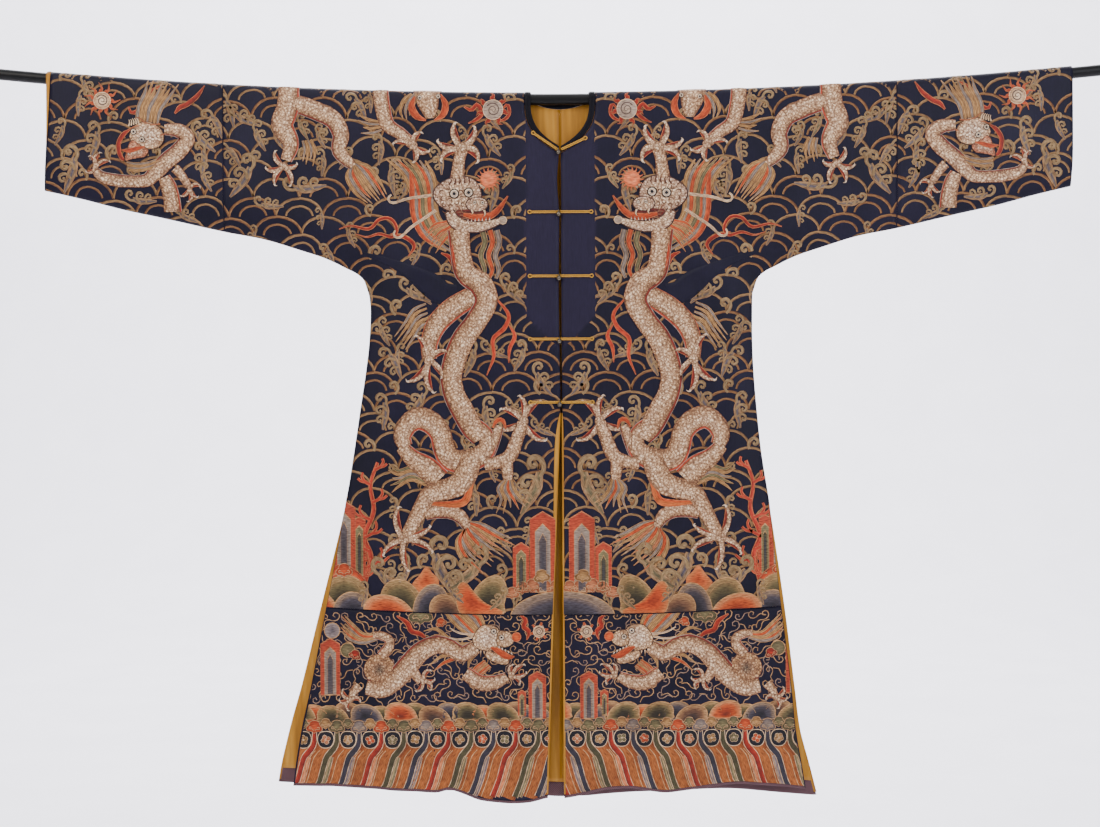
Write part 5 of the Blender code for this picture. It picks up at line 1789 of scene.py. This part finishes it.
def band_dragon(needle):
    """The dragon of the lower band, after the pearl by the opening, with clouds about it."""
    fan(needle, [(176, 1048), (204, 1024), (224, 1002), (232, 984)], [(150, 1030), (160, 1006), (176, 990),
        (186, 976)], 8, 8, 9, [TAN_PAIR, GREY_PAIR, CORAL_PAIR, TAN_PAIR])
    fan(needle, [(182, 1058), (204, 1062), (222, 1074)], [(166, 1078), (180, 1090), (184, 1106)], 5, 8, 9,
        [TAN_PAIR, GREY_PAIR])
    fan(needle, [(196, 1060), (222, 1048), (246, 1030), (270, 1034)], [(190, 1076), (208, 1086),
        (232, 1096), (256, 1116)], 6, 8, 6, [TAN_PAIR, CORAL_PAIR, GREY_PAIR, TAN_PAIR])
    fan(needle, [(360, 1040), (386, 1040), (404, 1024), (424, 1002)], [(362, 1050), (388, 1056),
        (412, 1050), (432, 1032)], 6, 7, 9, [TAN_PAIR, CORAL_PAIR, GREY_PAIR])
    needle.patch(disc((356, 1108), 31, 10), [TAN_LIGHT, "B79470", "6A6458"], rim="7A4A38", layer=10,
                 kind=SCALES, crown=0.8)
    tail = [(352, 1082), (338, 1066), (336, 1050), (350, 1042), (368, 1040)]
    scaled(needle, tail, [18, 18, 16, 15, 12], 11, 1)
    body = [(168, 1066), (196, 1080), (222, 1066), (248, 1062), (276, 1076), (298, 1100), (322, 1126),
            (352, 1146), (382, 1142)]
    scaled(needle, body, [24, 26, 28, 30, 33, 35, 35, 32, 26], 13, -1)
    scaled(needle, [(292, 1110), (284, 1122), (276, 1132)], [20, 18, 15], 14, 0)
    foot(needle, (272, 1128), [(258, 1110, 6), (250, 1128, -6), (256, 1146, 6), (284, 1150, 6)], 16, 9)
    scaled(needle, [(396, 1138), (406, 1150), (412, 1164)], [20, 15, 12], 12, 0)
    foot(needle, (413, 1166), [(428, 1148, 6), (434, 1168, 6), (418, 1186, -6), (394, 1168, 6)], 16, 9)
    scaled(needle, [(190, 1116), (162, 1136), (134, 1136), (108, 1124)], [22, 26, 24, 16], 12, 1)
    foot(needle, (100, 1122), [(76, 1100, 6), (72, 1116, -5), (84, 1136, 6), (98, 1100, 6)], 15, 9)
    fan(needle, [(152, 1092), (170, 1106), (186, 1124)], [(140, 1104), (160, 1120), (176, 1140)], 5, 7,
        10, [CORAL_PAIR, PINK_PAIR, TAN_PAIR])
    for number in range(13):
        spike = placed([(10, 0), (24, -1), (36, 3)], (150, 1050), 1.0, 10 + number * 15)
        needle.band(spike, [5, 3.6, 0.8], [CREAM_SHADE, CREAM], rim=UMBER, layer=16, rim_width=0.6,
                    step=0.003)
    for turn in (-4, 14):
        horn = placed([(0, 0), (20, 2), (42, 0), (60, -8)], (160, 1040), 1.0, turn)
        needle.band(horn, [4.5, 4, 3.4, 1.6], [UMBER, CREAM], rim=CREAM, layer=18, rim_width=0.6)
    skull = [(172, 1040), (158, 1024), (138, 1022), (122, 1032), (116, 1048), (124, 1064), (142, 1074),
             (164, 1070), (176, 1056)]
    needle.patch(skull, ["D8B88C", "F2DFC2", "F6E8D2"], rim="5A3A28", layer=19, kind=SCALES, crown=0.3,
                 step=0.004)
    ribbon(needle, [(140, 1066), (124, 1074), (108, 1084), (94, 1084)], 13, 21, CORAL_PAIR)
    needle.patch([(126, 1036), (108, 1034), (95, 1044), (96, 1058), (110, 1066), (128, 1062)],
                 ["D8B88C", CREAM], rim="5A3A28", layer=21, kind=SCALES, step=0.004)
    needle.patch([(146, 1072), (124, 1080), (104, 1090), (108, 1100), (132, 1096), (152, 1084)],
                 ["D8B88C", CREAM], rim="5A3A28", layer=20, kind=SCALES, step=0.004)
    needle.patch(disc((90, 1046), 9.5, 9), [CORAL, CORAL_LIGHT], rim=PINK, layer=24, step=0.004)
    for number in range(5):
        tooth = placed([(0, 0), (-1, 4.5)], (124 - number * 6, 1064 + number * 3), 1.0, 10)
        needle.band(tooth, [2.8, 0.6], [IVORY], layer=25, step=0.003)
    eye(needle, (134, 1035), 6.2, 26)
    eye(needle, (119, 1047), 6.0, 26)
    pearl(needle, (46, 1036), 12, 6, 6, 1.5, CORAL_PAIR, (CREAM_SHADE, CREAM))
    ribbon(needle, [(82, 1004), (72, 1014), (76, 1026), (66, 1036), (70, 1052)], 10, 5)
    ribbon(needle, [(322, 1004), (302, 1018), (294, 1034), (276, 1040), (260, 1054)], 10, 5)
    cloud_head(needle, (276, 1004), 24, GREEN_PAIR, 7)
    cloud_head(needle, (236, 1018), 12, CORAL_PAIR, 8, turn=20)
    needle.patch(disc((448, 1032), 16), ["8C8284", "55525E"], rim=TAN_LIGHT, layer=6)
    needle.patch(disc((418, 1070), 15), [OLIVE, "7C7456"], rim=TAN_LIGHT, layer=5)
    cloud_head(needle, (404, 1080), 13, RED_PAIR, 7, turn=-20)


def coral(needle, line, size, layer):
    """A branching coral in red silk with a pale pink outline."""
    line = np.array(line, float)
    needle.band(line, [size * 1.2, size, size * 0.7], [RED, "C4452F"], rim=PINK, layer=layer,
                rim_width=1.3)
    for number, share in enumerate(np.linspace(0.12, 0.94, 7)):
        at = share * (len(line) - 1)
        low = min(int(at), len(line) - 2)
        place = line[low] + (line[low + 1] - line[low]) * (at - low)
        side = 1 if number % 2 else -1
        length = size * (3.6 - 1.8 * share)
        for twig in ([(0, 0), (side * 0.55, -0.30), (side * 0.85, -0.75), (side * 0.75, -1.15)],
                     [(side * 0.50, -0.28), (side * 0.95, -0.35), (side * 1.25, -0.60)]):
            needle.band(placed(twig, place, length), [size * 0.75, size * 0.6, size * 0.5],
                        [RED, "C4452F"], rim=PINK, layer=layer + 1, rim_width=1.0, step=0.004)


def tower(needle, middle, foot_depth, width, height, layer, core=GREY_PAIR):
    """A water pagoda: a coral frame with a pointed roof round a tall panel."""
    for number, (share, pair) in enumerate(((1.0, ("A8402A", "C4562F")), (0.60, core),
                                            (0.30, (core[1], "3A3A44")))):
        half = width / 2 * share
        top = foot_depth - height * (0.62 + 0.38 * share) if number else foot_depth - height
        outline = [(middle - half, top + width * 0.3), (middle, top), (middle + half, top + width * 0.3),
                   (middle + half, foot_depth), (middle - half, foot_depth)]
        needle.patch(outline, list(pair), rim=PINK if number == 0 else TAN_LIGHT, layer=layer + 2 * number,
                     rim_width=1.4, smooth=False, centre=(middle, foot_depth - height * 0.4))


def shore(needle):
    """The rocks above the level seam, with coral and pagodas, and the great wave crests."""
    coral(needle, [(384, 936), (372, 890), (384, 850), (366, 800), (372, 750), (358, 706)], 9.5, 8)
    coral(needle, [(398, 940), (392, 910), (396, 884)], 7.0, 7)
    tower(needle, 424, 930, 44, 150, 9)
    tower(needle, 394, 926, 24, 116, 8, GREEN_PAIR)
    tower(needle, 38, 960, 50, 158, 11)
    tower(needle, 80, 958, 32, 96, 10, GREEN_PAIR)
    crest(needle, (46, 752), 56, 0, False, 9, "5E5F48")
    crest(needle, (243, 910), 58, 2, True, 12, "3E4258")
    crest(needle, (172, 920), 54, -24, False, 13, "4E503C")
    crest(needle, (345, 934), 44, 30, True, 11, "3E4258")
    crest(needle, (118, 940), 34, -8, False, 12, "5E5F48")
    crest(needle, (300, 912), 30, 12, False, 11, "5E5058")
    needle.patch([(292, 944), (278, 926), (264, 908), (252, 922), (240, 934), (246, 956), (276, 960)],
                 ["C07844", "C46030", "96380E"], rim=PINK, layer=12)
    needle.band([(452, 920), (430, 912), (404, 922), (384, 938)], [16, 18, 16, 10],
                [PINK, CORAL, "8A3A24"], rim=PINK, layer=12, rim_width=1.3)
    hill(needle, (428, 976), 100, 52, OLIVE_ROCK, 13, slant=-6)
    hill(needle, (312, 984), 84, 52, OLIVE_ROCK, 13, slant=8)
    hill(needle, (256, 990), 70, 48, GREY_ROCK, 14, slant=-6)
    hill(needle, (150, 984), 74, 58, OLIVE_ROCK, 14, slant=-20)
    hill(needle, (408, 994), 76, 38, GREY_ROCK, 16)
    hill(needle, (338, 998), 96, 36, CORAL_ROCK, 17, slant=12)
    hill(needle, (222, 1002), 72, 40, TAN_ROCK, 16, slant=10)
    needle.patch([(204, 946), (190, 938), (172, 958), (150, 980), (112, 1000), (160, 1010), (196, 1004),
                  (208, 972)], ["C07844", "C04C1C", "963412"], rim=TAN_LIGHT, layer=17)
    hill(needle, (462, 996), 48, 34, CORAL_ROCK, 15)
    for place, size in (((98, 962), 15), ((78, 952), 16), ((58, 948), 17), ((34, 952), 18), ((14, 950), 15)):
        cloud_head(needle, place, size, (CORAL_PAIR, PINK_PAIR)[place[0] % 4 // 2], 14)
    hill(needle, (4, 1012), 200, 54, GREY_ROCK, 17)
    crest(needle, (118, 974), 26, -20, False, 18, "4E503C")
    crest(needle, (214, 962), 24, 20, True, 18, "3E4258")
    crest(needle, (380, 960), 24, 10, False, 18, "5E5058")
    cloud_head(needle, (424, 916), 17, CORAL_PAIR, 14)
    cloud_head(needle, (40, 930), 17, TAN_PAIR, 18, turn=8)


CRESTS = [
    (124, 178, 38, 15, False), (140, 84, 32, 10, True), (346, 94, 30, 20, False),
    (330, 148, 34, -20, True), (300, 172, 26, 0, False), (102, 374, 34, 20, True),
    (170, 503, 36, 5, False), (324, 506, 34, 50, False), (290, 380, 34, 40, True),
    (272, 588, 36, -10, False), (340, 604, 34, 20, False), (150, 612, 34, -15, True),
    (186, 600, 30, 15, False), (166, 772, 34, 30, False), (118, 860, 26, 10, True),
    (74, 500, 30, 0, False), (44, 548, 34, 10, True), (350, 452, 28, 0, True), (60, 840, 26, 10, False),
    (330, 920, 24, 0, False), (640, 14, 34, 40, False), (620, 38, 32, 40, True), (505, 52, 26, 0, True),
    (608, 150, 44, -10, False), (500, 176, 40, 70, True), (638, 100, 30, 60, False),
    (458, 120, 26, 20, False), (470, 72, 24, 0, True), (388, 8, 30, 50, False), (590, 70, 30, 0, True),
    (570, 208, 28, 60, True), (448, 300, 26, 40, False),
]
CUFF_CRESTS = [
    (924, -26, 30, 0, True), (936, 0, 26, -30, True), (898, 76, 36, 10, False), (944, 130, 44, 5, False),
    (700, 76, 34, 20, True), (690, 112, 32, 20, False), (694, 150, 28, 0, True), (668, 40, 32, 50, False),
    (820, 196, 30, 60, True), (966, 60, 26, 0, False),
]
UNDERARM = [(383, 300), (330, 318), (290, 338), (258, 358), (228, 378), (200, 374)]


def scroll_field(needle, reach, seed):
    """Thin curling lines over the navy of the lower band, behind its dragon."""
    chance = random.Random(seed)
    for row in range(8):
        for column in range(math.ceil(reach / 24)):
            place = (10 + column * 24 + 12 * (row % 2) + chance.uniform(-4, 4),
                     1008 + row * 22 + chance.uniform(-4, 4))
            scroll(needle, place, chance.uniform(17, 24), chance.uniform(-80, 80), chance.random() < 0.5,
                   1, (CREAM_SHADE, TAN_LIGHT, "9C8474")[(row + column) % 3])


def upper_work(needle):
    """What the front and the back of the body share."""
    wave_net(needle, 0, 660, -30, 1000, 5)
    needle.band(UNDERARM, [6, 16, 30, 46, 46, 26], [NAVY], layer=4, kind=PLAIN)
    for across, depth, size, turn, flip in CRESTS:
        inside = (GREY_BLUE, "5E5F48", GREY_PAIR[1], "6A5A50")[int(across) % 4]
        crest(needle, (across, depth), size, turn, flip, 2, inside)
    great_head(needle)
    great_body(needle)
    shoulder_dragon(needle)
    ridge_motifs(needle)
    ribbon(needle, [(126, 388), (102, 420), (110, 446), (132, 468), (131, 502), (145, 538)], 9, 9,
           ("CF4A28", "B5331C"))
    ribbon(needle, [(101, 440), (90, 462), (100, 486), (102, 514)], 8, 9, ("CF4A28", "B5331C"))
    ribbon(needle, [(430, 252), (407, 246), (372, 252), (352, 234), (330, 233), (318, 252), (326, 268),
                    (352, 262), (376, 268), (398, 262)], 7, 9)
    ribbon(needle, [(330, 262), (300, 270), (284, 286), (296, 306)], 8, 8)
    ribbon(needle, [(232, 300), (216, 308), (206, 326), (192, 344)], 9, 8)
    shore(needle)


def back_centre(needle):
    """What fills the middle of the back, where the front has its plain placket: a pearl and clouds."""
    pearl(needle, (0, 196), 36, 8, 12, 1.9, CORAL_PAIR, (CREAM_SHADE, "EAD2B0", CREAM))
    for number, (across, depth, size) in enumerate(((34, 92, 20), (70, 142, 17), (76, 262, 20),
                                                    (28, 318, 22), (64, 366, 17), (24, 420, 18))):
        cloud_head(needle, (across, depth), size, (GREEN_PAIR, TAN_PAIR, CORAL_PAIR)[number % 3], 7,
                   turn=12 * math.sin(number * 2))
    crest(needle, (30, 480), 34, 10, False, 6, "3E4258")
    crest(needle, (26, 262), 26, -10, True, 6, "5E5F48")


front_band = Needle("band", FRONT)
back_band = Needle("band", BACK)
front_body = Needle("body", FRONT)
back_body = Needle("body", BACK)
front_sleeve = Needle("sleeve", FRONT)
back_sleeve = Needle("sleeve", BACK)

for needle in (front_band, back_band):
    scroll_field(needle, 560, 21)
    standing_water(needle, 600)
    flower_cells(needle, 600)
    cloud_border(needle, 600)
    band_dragon(needle)
    tower(needle, 452, 1158, 38, 112, 4)
    tower(needle, 50, 1206, 34, 94, 4)
    tower(needle, 80, 1200, 16, 52, 3, GREEN_PAIR)
for needle in (front_body, back_body):
    upper_work(needle)
back_centre(back_body)
for needle in (front_sleeve, back_sleeve):
    wave_net(needle, 650, 1000, -50, 280, 9)
    for across, depth, size, turn, flip in CUFF_CRESTS:
        crest(needle, (across, depth), size, turn, flip, 2, (GREY_BLUE, "5E5F48")[int(across) % 2])
    cuff_dragon(needle)

for part in ("body", "band", "sleeve"):
    for face_name in FACES:
        for side_name in SIDES:
            make_work(part, face_name, side_name)


# The lining's edge shows along the front opening below the lowest frog: it is rolled out over the
# edge of the silk and slip stitched, wider where the opening starts.

EDGE_ROLLS = {
    "right": [(612, 1.4), (632, 5.4), (664, 8.6), (700, 9.2), (760, 8.0), (830, 6.2), (910, 4.6),
              (1000, 3.4), (1120, 3.0), (1240, 3.0), (1352, 2.8)],
    "left": [(612, 1.2), (640, 2.8), (700, 3.4), (800, 3.2), (1000, 3.2), (1200, 3.2), (1352, 3.0)],
}

for side_name, rows in EDGE_ROLLS.items():
    needle = Needle("edge", SIDES[side_name])
    depths = np.array([depth for depth, width in rows], float)
    widths = [width for depth, width in rows]
    middles = front_edge(SIDES[side_name], depths * MM) / MM - 0.6 + np.array(widths) / 2
    needle.band(np.stack([middles, depths], axis=-1), widths, ["000000"], layer=8, kind=LINING,
                crown=0.3, step=0.008)
    make_work("edge", "front", side_name, "ochre_lining")


# Where the two backs are sewn together, the edges of the silk are pressed open inside the seam.

ALLOWANCE = 0.007
ALLOWANCE_LOW = 1.34          # ends inside the hem
ALLOWANCE_CLEAR = 0.0002

allowance_depths = evenly(NECK_BACK, ALLOWANCE_LOW)[:, None]
allowance_across = np.broadcast_to([-ALLOWANCE, 0.0, ALLOWANCE], (len(allowance_depths), 3))
allowance_depths = np.broadcast_to(allowance_depths, allowance_across.shape)
allowance_index = np.arange(allowance_across.size).reshape(allowance_across.shape)
allowance = closed_wall("back_seam_allowance",
                        drape(BACK, allowance_across.reshape(-1), allowance_depths.reshape(-1),
                              -CLOTH_WALL - ALLOWANCE_CLEAR),
                        drape(BACK, allowance_across.reshape(-1), allowance_depths.reshape(-1),
                              -CLOTH_WALL - 2 * ALLOWANCE_CLEAR), grid_faces(allowance_index), [navy])
allowance = finish_piece(allowance, "back_seam_allowance", None, "navy_silk")


# The frogs: five pairs of doubled ochre-gold cord, each laid flat on the cloth and stitched down,
# with its outer end turned back in a small eye. A ball on the right side buttons into a loop.

FROG_DEPTHS = [0.221, 0.3455, 0.468, 0.591]
FROG_REACH = 0.063
FROG_KNOT_START = -0.0026
FROG_LOOP_START = -0.0016
NECK_FROG_KNOT = ((-0.0034, 0.1012), (-0.0546, 0.0660))
NECK_FROG_LOOP = ((0.0018, 0.1002), (0.0520, 0.0770))
NECK_FROG_CLEAR = 0.0014      # the top frog lies over the neck binding
FROG_CLEAR = 0.0004
CORD_RADIUS = 0.00125
CORD_APART = 0.00135          # from the frog's middle line to the middle of each cord
EYE_RADIUS = 0.0030
CORD_TWIST = 0.0048           # length of one turn of the cord's strands
CORD_RIM = 10
CORD_STEP = 0.0010
# The cord's colour, with a painted shade for the grooves between strands and a painted highlight for their
# tops
GOLD = "94671A"
GOLD_GROOVE_SHADE = "55360A"
GOLD_STRAND_HIGHLIGHT = "BC8C30"


def gold_cord():
    """Twisted silk cord, ochre gold, with painted shade in the grooves and a painted highlight where the
    strands stand out.
    """
    material, shader = start_material("twisted gold silk cord", 0.45, 1.45)
    shader.inputs["Specular IOR Level"].default_value = 0.3
    shader.inputs["Sheen Weight"].default_value = 0.05
    shader.inputs["Sheen Tint"].default_value = srgb(GOLD_STRAND_HIGHLIGHT)
    strand = add_node(material, "ShaderNodeAttribute", {"attribute_name": "strand_height"})
    place = add_node(material, "ShaderNodeTexCoord").outputs["Object"]
    fibre = add_node(material, "ShaderNodeTexNoise", {"Scale": 900.0, "Detail": 2.0},
                     {"Vector": place})
    height = add_node(material, "ShaderNodeMath", {"operation": "MULTIPLY_ADD", 1: 0.7},
                      {0: strand.outputs["Fac"], 2: fibre.outputs["Fac"]})
    # Painted shade and painted highlight: darker in the strands' grooves, palest on their tops
    colour = shades(material, height.outputs[0], [(0.35, GOLD_GROOVE_SHADE), (0.75, GOLD), (1.0, GOLD_STRAND_HIGHLIGHT)])
    plug(material, colour, shader, "Base Color")
    bump = add_node(material, "ShaderNodeBump", {"Strength": 0.3, "Distance": 0.0003},
                    {"Height": fibre.outputs["Fac"]})
    plug(material, bump.outputs["Normal"], shader, "Normal")
    return material


def twisted_cord(centres, outs, radius):
    """Points, faces and strand heights of a closed cord of three twisted strands."""
    centres = np.asarray(centres)
    along = np.gradient(centres, axis=0)
    along /= np.linalg.norm(along, axis=1, keepdims=True)
    lengths = np.concatenate([[0], np.cumsum(np.linalg.norm(np.diff(centres, axis=0), axis=1))])
    across = np.cross(along, outs)
    across /= np.linalg.norm(across, axis=1, keepdims=True)
    up = np.cross(across, along)
    angles = np.linspace(0, 2 * math.pi, CORD_RIM, endpoint=False)
    phase = angles[None, :] * 3 - (lengths * 2 * math.pi / CORD_TWIST)[:, None]
    height = 0.5 + 0.5 * np.cos(phase)
    reach = radius * (0.86 + 0.14 * height)
    close = np.minimum(1, np.minimum(lengths, lengths[-1] - lengths) / radius + 0.25)
    reach = reach * np.sqrt(close)[:, None]
    points = (centres[:, None] + across[:, None] * (reach * np.cos(angles))[..., None]
              + up[:, None] * (reach * np.sin(angles))[..., None])
    count = len(centres)
    index = np.arange(count * CORD_RIM).reshape(count, CORD_RIM)
    index = np.concatenate([index, index[:, :1]], axis=1)
    faces = grid_faces(index).tolist()
    faces.append(tuple(reversed(range(CORD_RIM))))
    faces.append(tuple(range((count - 1) * CORD_RIM, count * CORD_RIM)))
    return points.reshape(-1, 3), faces, height.reshape(-1)


def joined(parts):
    """Several parts' points, faces and heights as one."""
    points = []
    faces = []
    heights = []
    for part_points, part_faces, part_heights in parts:
        base = sum(len(block) for block in points)
        points.append(part_points)
        faces += [tuple(index + base for index in face) for face in part_faces]
        heights.append(part_heights)
    return np.concatenate(points), faces, np.concatenate(heights)


cord_silk = gold_cord()


def make_frog(name, start, end, clear):
    """One side of a frog: a cord laid out, round a small eye at its far end and back again."""
    start = np.array(start)
    end = np.array(end)
    length = np.linalg.norm(end - start)
    way = (end - start) / length
    side = np.array([-way[1], way[0]])
    eye = length - EYE_RADIUS
    turn = np.radians(np.linspace(-128, 128, 9))
    line = [(0.0, 1.0), (0.25, 1.0), (0.5, 1.0), (0.75, 1.0), ((eye - 0.0045) / length, 1.0)]
    places = [start + way * share * length - side * CORD_APART * apart for share, apart in line]
    places += [start + way * (eye + EYE_RADIUS * math.cos(angle)) + side * EYE_RADIUS * math.sin(angle)
               for angle in turn]
    places += [start + way * share * length + side * CORD_APART * apart
               for share, apart in reversed(line)]
    route, _ = resampled(places, CORD_STEP)
    points = drape(FRONT, route[:, 0], route[:, 1], clear + CORD_RADIUS)
    outs = np.broadcast_to([0.0, -1.0, 0.0], points.shape)
    parts = [twisted_cord(points, outs, CORD_RADIUS)]
    for share in (0.30, 0.62, 0.90):
        middle = start + way * share * length
        span = np.linspace(-1, 1, 13)
        bridge = middle + side * (span * (CORD_APART + CORD_RADIUS + 0.0002))[:, None]
        lift = clear - 0.0004 + (2 * CORD_RADIUS + 0.0006) * np.clip(1.15 - span ** 6, 0, 1)
        stitch = drape(FRONT, bridge[:, 0], bridge[:, 1], lift)
        outs = np.broadcast_to([way[0], 0.0, -way[1]], stitch.shape)
        parts.append(twisted_cord(stitch, outs, 0.0004))
    points, faces, heights = joined(parts)
    piece = make_mesh(name + "_cord", points, faces)
    attribute = piece.data.attributes.new("strand_height", "FLOAT", "POINT")
    attribute.data.foreach_set("value", heights.astype(np.float32))
    return finish_piece(piece, piece.name, cord_silk, "gold_cord", name)


frogs = [make_frog("frog_1_knot_side", *NECK_FROG_KNOT, NECK_FROG_CLEAR),
         make_frog("frog_1_loop_side", *NECK_FROG_LOOP, NECK_FROG_CLEAR)]
for number, depth in enumerate(FROG_DEPTHS, start=2):
    frogs.append(make_frog(f"frog_{number}_knot_side", (FROG_KNOT_START, depth),
                           (-FROG_REACH, depth), FROG_CLEAR))
    frogs.append(make_frog(f"frog_{number}_loop_side", (FROG_LOOP_START, depth),
                           (FROG_REACH, depth), FROG_CLEAR))


# The buttons: small cast balls of dark bronze with a flat seat ring and a loop shank at the back,
# hung from the knot side of each frog by its cord.

BUTTON_RADIUS = 0.0050
BUTTON_ACROSS = -0.0035
BUTTON_DROP = 0.0050
BUTTON_PROUD = 0.0067
RING_RADIUS = 0.0019
BRONZE = "5A534A"
BRONZE_DARK = "2B2622"
BRONZE_BRIGHT = "A08F73"


def dark_bronze():
    """Cast bronze with a dark patina, rubbed brighter where it is handled."""
    material, shader = start_material("cast bronze, dark patina", 0.36)
    shader.inputs["Metallic"].default_value = 1.0
    place = add_node(material, "ShaderNodeTexCoord").outputs["Object"]
    pits = add_node(material, "ShaderNodeTexNoise", {"Scale": 700.0, "Detail": 3.0},
                    {"Vector": place})
    colour = shades(material, pits.outputs["Fac"],
                    [(0.32, BRONZE_DARK), (0.52, BRONZE), (0.75, BRONZE_BRIGHT)])
    plug(material, colour, shader, "Base Color")
    bump = add_node(material, "ShaderNodeBump", {"Strength": 0.25, "Distance": 0.0002},
                    {"Height": pits.outputs["Fac"]})
    plug(material, bump.outputs["Normal"], shader, "Normal")
    return material


bronze = dark_bronze()


def make_ball_button(name, cord_depth, clear):
    """A ball with a collar round its top and a ring above it, through which the cord passes."""
    deselect_all()
    reach = float(wall_reach(FRONT, np.array([BUTTON_ACROSS]), np.array([cord_depth]))[0])
    middle = (BUTTON_ACROSS, -(reach + clear + BUTTON_PROUD), -(cord_depth + BUTTON_DROP))
    bpy.ops.mesh.primitive_uv_sphere_add(segments=32, ring_count=18, radius=BUTTON_RADIUS,
                                         location=middle)
    ball = bpy.context.object
    top = (middle[0], middle[1], middle[2] + BUTTON_RADIUS * 0.93)
    bpy.ops.mesh.primitive_torus_add(location=top, major_segments=24, minor_segments=8,
                                     major_radius=0.0017, minor_radius=0.0005)
    collar = bpy.context.object
    top = (middle[0], middle[1], middle[2] + BUTTON_RADIUS + RING_RADIUS * 0.75)
    bpy.ops.mesh.primitive_torus_add(location=top, rotation=(0, QUARTER, 0), major_segments=24,
                                     minor_segments=8, major_radius=RING_RADIUS,
                                     minor_radius=0.0006)
    ring = bpy.context.object
    for part in (ball, collar, ring):
        part.select_set(True)
    bpy.context.view_layer.objects.active = ball
    bpy.ops.object.join()
    bpy.ops.object.transform_apply(location=True, rotation=True, scale=True)
    bpy.ops.object.shade_smooth_by_angle(angle=math.radians(50))
    return finish_piece(ball, name + "_ball", bronze, "bronze_button", name)


buttons = [make_ball_button("button_1", NECK_FROG_KNOT[0][1], NECK_FROG_CLEAR)]
for number, depth in enumerate(FROG_DEPTHS, start=2):
    buttons.append(make_ball_button(f"button_{number}", depth, FROG_CLEAR))


# The room: a plain pale floor that sweeps up into a backdrop, soft light from large panels, and a
# camera straight in front of the middle of the robe.

PALE = "F6F5FA"
FLOOR_DEPTH = -2.05
BACKDROP_REACH = 9.0         # how far behind the robe the backdrop stands
SWEEP = 3.0
CAMERA_ACROSS = -0.0224
CAMERA_AWAY = 3.0
CAMERA_HEIGHT = -0.6127
CAMERA_ROLL = math.radians(0.32)
LENS = 50.3
SENSOR = 36.0


def pale_paper():
    """Matt seamless paper: nearly white, with a very faint mottling."""
    material, shader = start_material("pale seamless paper", 0.95)
    place = add_node(material, "ShaderNodeTexCoord").outputs["Object"]
    mottle = add_node(material, "ShaderNodeTexNoise", {"Scale": 3.0, "Detail": 2.0},
                      {"Vector": place})
    colour = shades(material, mottle.outputs["Fac"], [(0.3, "F2F1F6"), (0.7, PALE)])
    plug(material, colour, shader, "Base Color")
    return material


def make_backdrop():
    rise = [(-8.0, FLOOR_DEPTH)]
    corner = (BACKDROP_REACH - SWEEP, FLOOR_DEPTH + SWEEP)
    for angle in np.linspace(0, QUARTER, 25):
        rise.append((corner[0] + SWEEP * math.sin(angle), corner[1] - SWEEP * math.cos(angle)))
    rise.append((BACKDROP_REACH, 7.0))
    points = [(across, away, height) for away, height in rise for across in (-14.0, 14.0)]
    index = np.arange(len(points)).reshape(-1, 2)
    backdrop = make_mesh("backdrop", points, grid_faces(index)[:, ::-1])
    backdrop.data.materials.append(pale_paper())


def add_light(name, place, target, size, power, colour):
    light = bpy.data.lights.new(name, "AREA")
    light.shape = "RECTANGLE"
    light.size, light.size_y = size
    light.energy = power
    light.color = srgb(colour)[:3]
    lamp = bpy.data.objects.new(name, light)
    bpy.context.scene.collection.objects.link(lamp)
    lamp.location = place
    away = Vector(place) - Vector(target)
    lamp.rotation_euler = away.to_track_quat("Z", "Y").to_euler()


make_backdrop()
add_light("key", (-1.9, -3.0, 1.6), (0, 0, -0.5), (2.4, 2.0), 112, "FFF8F0")
add_light("fill", (2.2, -2.8, 0.6), (0, 0, -0.6), (2.4, 2.4), 78, "F4F6FF")
add_light("top", (0, -0.9, 2.6), (0, 0, -0.4), (3.0, 1.6), 52, "FFFFFF")
add_light("behind", (0, 2.6, 1.2), (0, 0, -0.5), (3.0, 2.0), 70, "FFFFFF")
add_light("backdrop wash", (0, 3.6, 5.5), (0, 8.6, -1.2), (12.0, 2.0), 2300, "FBFAFF")

world = bpy.context.scene.world or bpy.data.worlds.new("studio")
bpy.context.scene.world = world
world.use_nodes = True
world.node_tree.nodes["Background"].inputs["Color"].default_value = srgb("ECEEF8")
world.node_tree.nodes["Background"].inputs["Strength"].default_value = 0.90

camera_data = bpy.data.cameras.new("camera")
camera_data.lens = LENS
camera_data.sensor_width = SENSOR
camera = bpy.data.objects.new("camera", camera_data)
bpy.context.scene.collection.objects.link(camera)
camera.location = (CAMERA_ACROSS, -CAMERA_AWAY, CAMERA_HEIGHT)
camera.rotation_euler = (QUARTER, CAMERA_ROLL, 0)
bpy.context.scene.camera = camera
